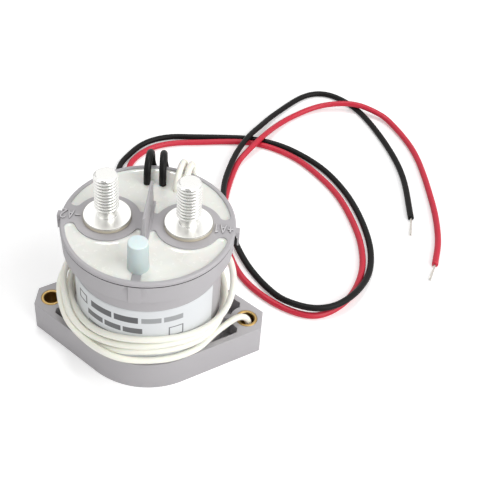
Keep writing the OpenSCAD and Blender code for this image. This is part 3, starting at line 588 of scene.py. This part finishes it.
def shadow_seam(mat):
    """Darken the walls of the open seam between rim and band, a ring of SEAM_Z to SEAM_Z + SEAM_GROOVE."""
    shade, slack = 0.85, 0.03
    tree = mat.node_tree
    base = tree.nodes["Principled BSDF"].inputs["Base Color"]
    _, z, far = object_place(tree)
    ring = calc(tree, "COMPARE", far, (SEAM_OUTER + SEAM_INNER) / 2 * MM, (SEAM_OUTER - SEAM_INNER) / 2 * MM)
    level = calc(tree, "COMPARE", z, (SEAM_Z + SEAM_GROOVE / 2) * MM, (SEAM_GROOVE / 2 + slack) * MM)
    keep = calc(tree, "MULTIPLY_ADD", calc(tree, "MULTIPLY", ring, level), -shade, 1.0)
    scale = tree.nodes.new("ShaderNodeVectorMath")
    scale.operation = "SCALE"
    tree.links.new(base.links[0].from_socket, scale.inputs[0])
    tree.links.new(keep, scale.inputs["Scale"])
    tree.links.new(scale.outputs["Vector"], base)


# Pieces


class CONTACTOR_OT_paint_cad(bpy.types.Operator):
    """Give every CAD node the material of its slot"""

    bl_idname = "contactor.paint_cad"
    bl_label = "Paint CAD nodes"

    def execute(self, context):
        for row in frame["record"]["subparts"]:
            mesh = frame["nodes"][row["node"]].data
            mesh.materials.clear()
            mesh.materials.append(finish(row["material_slot"]))
        shadow_seam(finish("grey_plastic"))
        return {"FINISHED"}


class CONTACTOR_OT_terminals(bpy.types.Operator):
    """Turn both terminals with helical stud threads"""

    bl_idname = "contactor.terminals"
    bl_label = "Threaded terminals"

    # Radii and heights, in millimetres.
    post, disc, shank, stud = 5.5, 9.6, 3.65, 4.8
    contact_z, top = node_box("terminal_left")[:, 2]
    disc_top, thread_z = 65.6, 68.6
    runout, chamfer, crown_rise = 1.3, 0.9, 0.05
    # Painted shade in the thread's grooves, on the shank under the thread and at the top of the disc's wall.
    groove_shade, neck_shade, wall_shade = 0.32, 0.45, 0.8
    # The tan is a painted warm reflection on the disc's wall.
    plating, bare_metal, rough = (0.98, 0.975, 0.945), (0.72, 0.66, 0.52), 0.15
    sharp_edge = math.radians(50)

    def thread(self, pitch, sides=96):
        """Thread r(a, z) = R - h (1 - w(z / p - a / 2 pi)) and its shade, which is dark in the groove.

        The tooth w is a flat-topped triangle wave, faded out at the lower end and cut by a cone at the top.
        """
        slope, flat = 1.44, 0.18
        depth = 0.58 * pitch
        z = np.arange(self.thread_z, self.top, pitch / 20)
        a = np.linspace(0, 2 * np.pi, sides, endpoint=False)
        phase = z[:, None] / pitch - a[None, :] / (2 * np.pi)
        tooth = np.clip(slope * np.abs(2 * (phase - np.floor(phase)) - 1) - flat, 0, 1)
        start = np.clip((z - self.thread_z) / self.runout, 0, 1)[:, None]
        crest = self.shank + (self.stud - self.shank) * start
        root = self.shank + (self.stud - depth - self.shank) * start
        cone = self.stud - self.chamfer + np.maximum(self.top - z, 0)[:, None]
        radius = np.minimum(root + (crest - root) * tooth, cone)
        groove = np.clip(1.5 * (crest - radius) / depth - 0.35, 0, 1) * start * (radius < cone)
        shade = np.maximum(self.groove_shade * groove, self.neck_shade * (1 - start))
        z = np.broadcast_to(z[:, None], radius.shape)
        return np.stack([radius * np.cos(a), radius * np.sin(a), z], axis=-1), shade

    def lower(self):
        """Lathed post, disc and shank, with the painted shade, the painted warm reflection and the satin
        along the profile.
        """
        profile = rounded_profile([
            (0.02, self.contact_z, 0), (self.post, self.contact_z, 0.3), (self.post, COVER_TOP - 0.02, 0),
            (self.disc, COVER_TOP + 0.02, 0.2), (self.disc, self.disc_top, 0.4),
            (self.shank, self.disc_top, 0.4), (self.shank, self.thread_z, 0)])
        r, z = even_steps(np.column_stack([profile, np.zeros(len(profile))]), 0.12)[:, :2].T
        # The disc's wall has painted shade at its top edge and a painted warm reflection towards its foot.
        wall = (r > self.disc - 0.3) & (z < self.disc_top - 0.02)
        low = np.clip((self.disc_top - z) / (self.disc_top - COVER_TOP), 0, 1)
        up = np.clip((z - self.disc_top) / (self.thread_z - self.disc_top), 0, 1)
        neck = self.neck_shade * up ** 1.5 * (r < self.disc / 2)
        shade = np.where(wall, np.clip(self.wall_shade - 2.2 * low, 0, 1), neck)
        warm_reflection = np.where(wall, np.clip(2.5 * low, 0, 1), 0.0)
        satin = np.clip((r - self.shank) / 0.6, 0, 1) * (z > self.disc_top - 0.3)
        return lathe(np.column_stack([r, z]), 0, 0), shade, warm_reflection, satin

    def execute(self, context):
        metal = turned_metal("plated_turned", self.plating, self.bare_metal, self.rough)
        turned, *turned_marks = self.lower()
        thread, thread_shade = self.thread(look().thread_pitch / MM)
        crown = [thread[-1] * (share, share, 1) + (0, 0, self.crown_rise) for share in (0.9, 0.01)]
        shape = np.concatenate([turned, thread, np.array(crown)])
        cols = shape.shape[1]
        blank = np.zeros_like(thread_shade)
        marks = {"radius": [np.linalg.norm(shape[..., :2], axis=-1)]}
        for key, low, high in zip(("shade", "warm_reflection", "satin"), turned_marks, (thread_shade, blank, blank)):
            marks[key] = [np.concatenate([np.repeat(low[:, None], cols, axis=1), high, np.zeros((2, cols))])]
        for side, node in ((-1, "terminal_left"), (1, "terminal_right")):
            placed = shape + (side * TERMINAL_X, 0, 0)
            obj = add_piece(node + "_turned", [(placed, True, True)], metal, marks=marks)
            obj.data.set_sharp_from_angle(angle=self.sharp_edge)
            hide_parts(node)
        return {"FINISHED"}


class CONTACTOR_OT_springs(bpy.types.Operator):
    """Wind both springs between the ends of their CAD nodes, each on its body"""

    bl_idname = "contactor.springs"
    bl_label = "Springs"

    # Node, body, joint, coil radius, wire radius, turns, height of the fixed end and stroke, in millimetres.
    springs = [
        ("return_spring", "frame", "plunger_lift", 3.1, 0.45, 6, 25.0, 2.0),
        ("contact_spring", "armature", "bridge_overtravel", 3.6, 0.55, 3.5, 38.5, 0.5),
    ]
    steps_a_turn = 40

    def helix(self, radius, low, high, turns):
        """Wire c(t) = (r cos 2 pi n t, r sin 2 pi n t, z0 + (z1 - z0) t)."""
        t = np.linspace(0, 1, int(turns * self.steps_a_turn) + 1)
        a = 2 * np.pi * turns * t
        return np.stack([radius * np.cos(a), radius * np.sin(a), low + (high - low) * t], axis=1)

    def execute(self, context):
        slots = {row["node"]: row["material_slot"] for row in frame["record"]["subparts"]}
        for node, body, joint, radius, wire, turns, fixed, stroke in self.springs:
            low, high = node_box(node)[:, 2]
            coil = tube(self.helix(radius, low + wire, high - wire, turns), wire, 12, 0.15)
            slot = slots[node]
            obj = add_piece(node + "_wound", [(coil, True, True)], finish(slot), body)
            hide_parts(node)
            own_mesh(obj)
        return {"FINISHED"}


class CONTACTOR_OT_cap(bpy.types.Operator):
    """Mould the tube's cap as a slight cone with a soft crown, and paint shade on its wall so that it is
    darker than the crown
    """

    bl_idname = "contactor.cap"
    bl_label = "Tube cap"

    bore, foot, crown, dome = 2.85, 4.2, 3.85, 0.08
    # Painted shade on the wall below the crown.
    wall_shade = 0.32

    def execute(self, context):
        low, high = node_box("tube_cap")[:, 2]
        profile = rounded_profile([
            (self.bore, low, 0), (self.foot, low, 0.2), (self.crown, high, 0.5),
            (0.02, high + self.dome, 0)], steps=7)
        points = lathe(profile, 0, TUBE_Y, 72)
        # The crown is left bright; the wall below it gets the painted shade.
        crown = np.clip((points[..., 2] - high + 0.6) / 0.5, 0, 1)
        obj = add_piece("tube_cap_soft", [(points, True, False)], finish("cap_vinyl"),
                        marks={"shade": [self.wall_shade * (1 - crown)]})
        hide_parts("tube_cap")
        return {"FINISHED"}


class CONTACTOR_OT_potting(bpy.types.Operator):
    """Lay the potting's free surface with a meniscus along its walls"""

    bl_idname = "contactor.potting"
    bl_label = "Potting surface"

    # Walls round the potting, in millimetres.
    bridge_half, rib_half, rib_end, ring_radius, cap_radius = 4.7, 1.7, 11.0, 13.0, 4.1
    # Centre in x and y and radius of the windows' rounded ends, and whether they lie by the rib.
    window_ends = [(29.33, 6.75, 2.05, False), (2.94, 5.94, 1.24, True)]
    grid_step, film, wall_reach, cap_reach, under_wall, lip_width = 0.3, 0.12, 0.7, 0.5, 0.45, 0.5
    bare_half = 2.6

    def wall_distance(self, x, y):
        """Distance to the nearest raised wall: rim, bridge, terminal rings and the barrier's rib."""
        rim = RIM_INNER - np.hypot(x, y)
        bridge = np.abs(y) - self.bridge_half
        rings = np.minimum(np.hypot(x - TERMINAL_X, y), np.hypot(x + TERMINAL_X, y)) - self.ring_radius
        rib = np.maximum(np.abs(x) - self.rib_half, np.abs(y) - self.rib_end)
        d = np.minimum(np.minimum(rim, bridge), np.minimum(rings, rib))
        for cx, cy, radius, inner in self.window_ends:
            u, v = np.abs(x) - cx, np.abs(y) - cy
            past_ring = u * cy - v * (cx - TERMINAL_X) > 0
            past_wall = v < 0 if inner else u * cy - v * cx > 0
            ending = (v < 0) & past_wall & (past_ring != inner)
            d = np.where(ending, radius - np.hypot(u, v), d)
        return d

    def execute(self, context):
        """Height z0 + m exp(-d / 0.7) + ripple, with d the distance to the nearest wall, on a square grid.

        The film ends in a lip beside the front spoke, which stays bare before the tube.
        """
        line = np.arange(-RIM_INNER - 2 * self.grid_step, RIM_INNER + 2 * self.grid_step, self.grid_step)
        x, y = np.meshgrid(line, line, indexing="ij")
        d = self.wall_distance(x, y)
        cap = np.hypot(x, y - TUBE_Y) - self.cap_radius
        rise = np.exp(-np.maximum(d, 0) / self.wall_reach)
        rise += 0.5 * np.exp(-np.maximum(cap, 0) / self.cap_reach)
        ripple = 0.05 * np.sin(0.31 * x + 0.8) * np.cos(0.27 * y) + 0.03 * np.sin(0.9 * y - 0.5 * x)
        ripple = np.where((np.abs(x) < self.bare_half) & (y < 0), 0.0, ripple)
        lip = np.clip((np.abs(x) - SPOKE_HALF) / self.lip_width, 0.1, 1)
        lip = np.where(y < TUBE_Y, lip, 1.0)
        z = POTTING_TOP + self.film * lip + ripple + look().meniscus / MM * rise * lip
        keep = (d > -self.under_wall) & ((np.abs(x) > SPOKE_HALF) | (y > TUBE_Y))
        cell = keep[:-1, :-1] & keep[1:, :-1] & keep[:-1, 1:] & keep[1:, 1:]
        number = np.arange(x.size).reshape(x.shape)
        quads = np.stack([number[:-1, :-1], number[1:, :-1], number[1:, 1:], number[:-1, 1:]], axis=-1)[cell]
        used, faces = np.unique(quads, return_inverse=True)
        verts = np.stack([x, y, z], axis=-1).reshape(-1, 3)[used]
        add_mesh("potting_surface", verts, faces.reshape(-1, 4).tolist(), finish("resin"))
        return {"FINISHED"}


class CONTACTOR_OT_label(bpy.types.Operator):
    """Wrap the label round the body and print plain fields on it"""

    bl_idname = "contactor.label"
    bl_label = "Label"

    low, high = node_box("label")[:, 2]
    half_angle, thickness, edge_thickness = 67.0, 0.18, 0.02
    ink_color, frame_ink = (0.03, 0.03, 0.035), 0.8
    # Left, right, low, high and ink of each printed bar.
    bars = [
        (-20.4, -10.2, 37.3, 40.7, 0.9), (-9.2, 0.6, 37.3, 40.7, 0.9), (1.8, 9.6, 37.6, 40.4, 0.55),
        (10.5, 18.4, 37.6, 40.4, 0.55), (-22.6, -14.4, 31.6, 34.6, 0.85), (-13.6, -6.4, 31.6, 34.6, 0.85),
        (-5.6, 2.2, 31.6, 34.6, 0.85), (-22.6, -12, 27.9, 28.8, 0.6), (-11.2, -3, 27.9, 28.8, 0.6),
        (-2.2, 5.6, 27.9, 28.8, 0.6), (-22.6, -8, 26.1, 27, 0.6), (-7.2, 2.4, 26.1, 27, 0.6),
    ]
    # Left, right, low, high and line width of each printed frame.
    frames = [(-28.6, -22.8, 36, 41, 0.8), (12.4, 18.6, 29, 34.4, 0.5)]

    def field(self, tree, along, height, left, right, low, high):
        """Mask of one printed field."""
        node = use_group(tree, "field")
        tree.links.new(along, node.inputs["Along"])
        tree.links.new(height, node.inputs["Height"])
        for key, value in (("Left", left), ("Right", right), ("Low", low), ("High", high)):
            node.inputs[key].default_value = value
        return node.outputs["Mask"]

    def ink(self, tree, along, height):
        """Ink of all bars and frames."""
        total = 0.0
        for *sides, tone in self.bars:
            bar = self.field(tree, along, height, *sides)
            total = calc(tree, "MAXIMUM", calc(tree, "MULTIPLY", bar, tone), total)
        for left, right, low, high, line in self.frames:
            outer = self.field(tree, along, height, left, right, low, high)
            inner = self.field(tree, along, height, left + line, right - line, low + line, high - line)
            drawn = calc(tree, "MULTIPLY", calc(tree, "SUBTRACT", outer, inner), self.frame_ink)
            total = calc(tree, "MAXIMUM", drawn, total)
        return total

    def execute(self, context):
        """Film (r cos a, r sin a, z) at one radius, which falls to the body along its four edges."""
        mat = finished_surface("label_printed", "label_film")
        tree = mat.node_tree
        ink = self.ink(tree, attribute(tree, "along"), attribute(tree, "height"))
        mix_into(tree, tree.nodes["Principled BSDF"].inputs["Base Color"], ink, self.ink_color)
        rows = np.linspace(self.low + 1, self.high - 1, 12)
        z = np.array([self.low, self.low + 0.05, *rows, self.high - 0.05, self.high])
        a = np.radians(-90 + np.linspace(-self.half_angle, self.half_angle, 121))
        r = np.full((len(z), len(a)), BODY_RADIUS + self.thickness)
        r[0] = r[-1] = BODY_RADIUS + self.edge_thickness
        r[:, 0] = r[:, -1] = BODY_RADIUS + self.edge_thickness
        height = np.broadcast_to(z[:, None], r.shape)
        along = np.broadcast_to((a + np.pi / 2) * BODY_RADIUS, r.shape)
        points = np.stack([r * np.cos(a), r * np.sin(a), height], axis=-1)
        obj = add_piece("label_wrapped", [(points, False, False)], mat, closed=False,
                        marks={"along": [along], "height": [height]})
        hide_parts("label")
        return {"FINISHED"}


class CONTACTOR_OT_marks(bpy.types.Operator):
    """Raise the polarity marks on the bridge's two ends"""

    bl_idname = "contactor.marks"
    bl_label = "Polarity marks"

    wide, tall, pitch, radius, base_y = 2.2, 3.1, 2.75, 0.36, 1.6
    words = [("+A1", 29.3), ("-A2", -30.2)]
    foot_shade = 0.85
    strokes = {
        "A": [[(0, 0), (0.5, 1.5), (1, 0)], [(0.2, 0.55), (0.8, 0.55)]],
        "1": [[(0.1, 1.15), (0.5, 1.5), (0.5, 0)]],
        "2": [[(0.05, 1.15), (0.2, 1.42), (0.5, 1.5), (0.8, 1.42), (0.95, 1.1), (0.8, 0.75), (0.05, 0),
               (0.95, 0)]],
        "+": [[(0, 0.75), (1, 0.75)], [(0.5, 0.25), (0.5, 1.25)]],
        "-": [[(0, 0.75), (1, 0.75)]],
    }

    def execute(self, context):
        """Half-round ribs: tubes along each stroke, sunk so that the mark height stands out.

        The painted shade grows from the crest down to the foot, and the lighter plastic is a painted
        highlight.
        """
        high = COVER_TOP + look().mark_height / MM
        patches = []
        for word, centre in self.words:
            for k, sign in enumerate(word):
                left = centre + (1 - k) * self.pitch + self.wide / 2
                for stroke in self.strokes[sign]:
                    route = [(left - u * self.wide, self.base_y - v * self.tall, high - self.radius)
                             for u, v in stroke]
                    line = np.vstack([np.linspace(p, q, 5) for p, q in zip(route, route[1:])])
                    line = line[np.r_[True, np.linalg.norm(np.diff(line, axis=0), axis=1) > 1e-6]]
                    patches.append((tube(line, self.radius, 10, 0.12), True, True))
        depths = [high - points[..., 2] for points, _, _ in patches]
        shade = [self.foot_shade * np.clip((depth - 0.1) / 0.25, 0, 1) for depth in depths]
        # Lighter plastic as a painted highlight, with painted shade at the strokes' feet.
        add_piece("polarity_marks", patches, finish("highlit_mark_plastic"), marks={"shade": shade})
        return {"FINISHED"}


def sleeve_arc(foot, back, end):
    """Points up from the potting, over a half circle and down behind the rim, easing to the end in plan."""
    sunk = 0.3
    foot, back, end = (np.array(p, dtype=float) for p in (foot, back, end))
    middle, half = (foot + back) / 2, (back - foot) / 2
    reach = np.linalg.norm(half)
    t = np.linspace(np.pi, 0, 40)[:, None]
    arc = np.hstack([middle + np.cos(t) * half, SLEEVE_BEND_Z + np.sin(t) * reach])
    up = np.array([[*foot, z] for z in np.linspace(POTTING_TOP - sunk, SLEEVE_BEND_Z, 6)[:-1]])
    z = np.linspace(SLEEVE_BEND_Z, SLEEVE_END_Z, 24)[1:, None]
    part = np.clip((SLEEVE_BEND_Z - z) / (SLEEVE_BEND_Z - SLEEVE_STRAIGHT_Z), 0, 1)
    down = np.hstack([back + (end - back) * (1 - np.cos(np.pi * part)) / 2, z])
    return np.vstack([up, arc, down])


def strands(route, radius, count=6):
    """Bare end: strands laid in a helix round the route, c(s) + r (cos(a + s) n + sin(a + s) b)."""
    wire, twist, spreading, floor = 0.2, 0.45, 0.25, 0.25
    _, n, b = carried_frames(route)
    far = lengths_along(route)
    spread = radius * (1 + spreading * (far / far[-1]) ** 2)
    made = []
    for k in range(count):
        a = 2 * np.pi * k / count + far * twist
        line = route + spread[:, None] * (np.cos(a)[:, None] * n + np.sin(a)[:, None] * b)
        line[:, 2] = np.maximum(line[:, 2], floor)
        made.append((tube(line[: len(line) - k % 3], wire, 6, 0), True, True))
    return made


class CONTACTOR_OT_coil_leads(bpy.types.Operator):
    """Lay the two coil leads with their sleeves and stripped ends"""

    bl_idname = "contactor.coil_leads"
    bl_label = "Coil leads"

    bundle_radius, floor_gap, passes = 0.3, 0.03, 12

    def execute(self, context):
        radius = look().lead_diameter / MM / 2
        arcs = [(tube(sleeve_arc(*points), SLEEVE_RADIUS), True, True) for points in SLEEVES]
        sleeves = add_piece("lead_sleeves_bent", arcs, finish("black_jacket"))
        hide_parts("lead_sleeves")
        bare = []
        for first, last in TIPS:
            bare += strands(np.linspace(first, last, 24), self.bundle_radius)
        tips = add_piece("coil_lead_strands", bare, finish("tinned_wire"))
        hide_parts("coil_lead_tips")
        for name, points, slot, node, extra in (
                ("black_lead", BLACK_ROUTE, "black_jacket", "coil_lead_black", (sleeves,)),
                ("red_lead", RED_ROUTE, "red_jacket", "coil_lead_red", (tips,))):
            start = [(*points[0][:2], SLEEVE_END_Z + LEAD_IN_SLEEVE)]
            route = smooth_route(start + points, floor=radius + self.floor_gap, soften=self.passes)
            obj = add_piece(name, [(tube(route, radius), True, True)], finish(slot))
            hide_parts(node)
        return {"FINISHED"}


class CONTACTOR_OT_aux_leads(bpy.types.Operator):
    """Wind the two white auxiliary leads round the body"""

    bl_idname = "contactor.aux_leads"
    bl_label = "Auxiliary leads"

    passes = 8

    def execute(self, context):
        radius = look().aux_diameter / MM / 2
        nodes = [("aux_lead_coil", "aux_lead_tail"), ("aux_lead_drops",)]
        for i, (drop, turns) in enumerate(zip(AUX_DROPS, AUX_TURNS)):
            a, r, z = eased(turns, 3).T
            wound = np.stack([r * np.cos(np.radians(a)), r * np.sin(np.radians(a)), z], axis=1)
            tail = AUX_TAIL if i == 1 else np.empty((0, 3))
            route = smooth_route(np.vstack([drop, wound, tail]), soften=self.passes)
            obj = add_piece(f"aux_lead_{i + 1}", [(tube(route, radius), True, True)], finish("white_jacket"))
            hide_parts(*nodes[i])
        return {"FINISHED"}


# Stage


class CONTACTOR_OT_stage(bpy.types.Operator):
    """Set the white floor, the soft lights and the photograph's camera"""

    bl_idname = "contactor.stage"
    bl_label = "Stage"

    # Name, place, aim, size and power of each lamp, in metres and watts.
    lamps = [
        ("key", (0.72, -0.42, 0.6), (0, 0, 0.03), 1.0, 8.6),
        ("fill", (-0.8, -0.6, 0.5), (0, 0, 0.03), 0.8, 1.7),
        ("top", (-0.1, 0.3, 1.1), (0, 0.05, 0), 0.3, 3.4),
    ]
    # Strength of the world for light on the object, and for reflections of its front and the rest.
    world_light, front_reflection, back_reflection = 0.35, 0.18, 1.0
    floor_half, floor_color, floor_rough, floor_front_loss = 4, (0.95, 0.95, 0.95), 0.9, 0.75
    floor_glow, floor_far_glow = 0.28, 0.47
    # The photograph's camera: place in metres, angles in degrees, and its focal length and axis in pixels.
    camera_at, azimuth, elevation = (0.043986, -0.290589, 0.336918), 8.263, 43.955
    photo_pixels, focal_pixels, axis_pixels = 480, 1039.36, 152.316
    sensor_width, clip_start = 36, 0.01

    def place(self, name, data, at, back, side):
        """Object at a point, whose z axis is back and whose x axis is side."""
        obj = bpy.data.objects.new(name, data)
        bpy.context.scene.collection.objects.link(obj)
        turn = Matrix((side, np.cross(back, side), back)).transposed().to_4x4()
        obj.matrix_world = Matrix.Translation(at) @ turn
        return obj

    def light(self, name, at, aim, size, power):
        """Square area light at a point, turned to another."""
        data = bpy.data.lights.new(name, "AREA")
        data.size = size
        data.energy = power
        back = np.array(at, dtype=float) - np.array(aim, dtype=float)
        back /= np.linalg.norm(back)
        side = np.cross((0.0, 0.02, 1.0), back)
        side /= np.linalg.norm(side)
        self.place(name, data, at, back, side)

    def surroundings(self, tree):
        """Dim even light; the view and the reflections get white, but reflections of the front are darker."""
        back = tree.nodes["Background"]
        path = tree.nodes.new("ShaderNodeLightPath").outputs
        split = tree.nodes.new("ShaderNodeSeparateXYZ")
        tree.links.new(tree.nodes.new("ShaderNodeTexCoord").outputs["Generated"], split.inputs[0])
        behind = calc(tree, "MULTIPLY_ADD", split.outputs["Y"], 1.5, 1.12, clamp=True)
        gain = self.back_reflection - self.front_reflection
        seen = calc(tree, "MULTIPLY_ADD", behind, gain, self.front_reflection)
        mirrored = calc(tree, "MULTIPLY", path["Is Glossy Ray"], seen)
        clear = calc(tree, "MAXIMUM", path["Is Camera Ray"], path["Is Transmission Ray"])
        shown = calc(tree, "MAXIMUM", mirrored, clear)
        tree.links.new(calc(tree, "MAXIMUM", shown, self.world_light), back.inputs["Strength"])
        back.inputs["Color"].default_value = (1, 1, 1, 1)

    def floor_material(self):
        """White that glows to the view, more so far away, and is darker in reflections of the front."""
        mat = bpy.data.materials.new("floor_white")
        mat.use_nodes = True
        tree = mat.node_tree
        bsdf = tree.nodes["Principled BSDF"]
        bsdf.inputs["Roughness"].default_value = self.floor_rough
        bsdf.inputs["Specular IOR Level"].default_value = 0.0
        bsdf.inputs["Emission Color"].default_value = (1, 1, 1, 1)
        path = tree.nodes.new("ShaderNodeLightPath").outputs
        y, _, far = object_place(tree)
        front = calc(tree, "MULTIPLY_ADD", y, -5.0, -0.75, clamp=True)
        dim = calc(tree, "MULTIPLY", path["Is Glossy Ray"], front)
        light = calc(tree, "MULTIPLY_ADD", dim, -self.floor_front_loss, 1.0)
        tree.links.new(scaled_color(tree, self.floor_color, light), bsdf.inputs["Base Color"])
        distant = calc(tree, "MULTIPLY_ADD", far, 1.25, -0.5, clamp=True)
        glow = calc(tree, "MULTIPLY_ADD", distant, self.floor_far_glow, self.floor_glow)
        tree.links.new(calc(tree, "MULTIPLY", path["Is Camera Ray"], glow), bsdf.inputs["Emission Strength"])
        return mat

    def floor(self):
        """Plain square floor at height 0."""
        half = self.floor_half
        mesh = bpy.data.meshes.new("floor")
        corners = [(-half, -half, 0), (half, -half, 0), (half, half, 0), (-half, half, 0)]
        mesh.from_pydata(corners, [], [(0, 1, 2, 3)])
        mesh.materials.append(self.floor_material())
        obj = bpy.data.objects.new("floor", mesh)
        bpy.context.scene.collection.objects.link(obj)

    def camera(self):
        """Camera at the photograph's place, angles and focal length, shifted as the photograph is."""
        data = bpy.data.cameras.new("photo")
        data.sensor_width = self.sensor_width
        data.lens = self.focal_pixels * self.sensor_width / self.photo_pixels
        data.shift_x = (self.photo_pixels / 2 - self.axis_pixels) / self.photo_pixels
        data.clip_start = self.clip_start
        az, el = math.radians(self.azimuth), math.radians(self.elevation)
        back = np.array([math.sin(az) * math.cos(el), -math.cos(az) * math.cos(el), math.sin(el)])
        side = np.array([math.cos(az), math.sin(az), 0])
        return self.place("photo", data, self.camera_at, back, side)

    def execute(self, context):
        scene = context.scene
        self.floor()
        scene.world = bpy.data.worlds.new("studio")
        scene.world.use_nodes = True
        self.surroundings(scene.world.node_tree)
        for lamp in self.lamps:
            self.light(*lamp)
        scene.camera = self.camera()
        scene.view_settings.view_transform = "Standard"
        return {"FINISHED"}


class CONTACTOR_PT_panel(bpy.types.Panel):
    """Settings and buttons of the contactor's pieces"""

    bl_label = "Contactor"
    bl_idname = "CONTACTOR_PT_panel"
    bl_space_type = "VIEW_3D"
    bl_region_type = "UI"
    bl_category = "Contactor"

    def draw(self, context):
        for name in ContactorLook.__annotations__:
            self.layout.prop(look(), name)
        for operator in OPERATORS:
            self.layout.operator(operator.bl_idname)


OPERATORS = (
    CONTACTOR_OT_paint_cad, CONTACTOR_OT_terminals, CONTACTOR_OT_springs, CONTACTOR_OT_cap,
    CONTACTOR_OT_potting, CONTACTOR_OT_label, CONTACTOR_OT_marks, CONTACTOR_OT_coil_leads,
    CONTACTOR_OT_aux_leads, CONTACTOR_OT_stage,
)
CLASSES = (ContactorLook, *OPERATORS, CONTACTOR_PT_panel)


def register():
    """Register the classes and the scene's settings."""
    for cls in CLASSES:
        bpy.utils.register_class(cls)
    bpy.types.Scene.contactor_look = bpy.props.PointerProperty(type=ContactorLook)


def unregister():
    """Remove the scene's settings and the classes."""
    del bpy.types.Scene.contactor_look
    for cls in reversed(CLASSES):
        bpy.utils.unregister_class(cls)


def main():
    register()
    for operator in OPERATORS:
        group, name = operator.bl_idname.split(".")
        getattr(getattr(bpy.ops, group), name)()


if __name__ == "__main__":
    main()
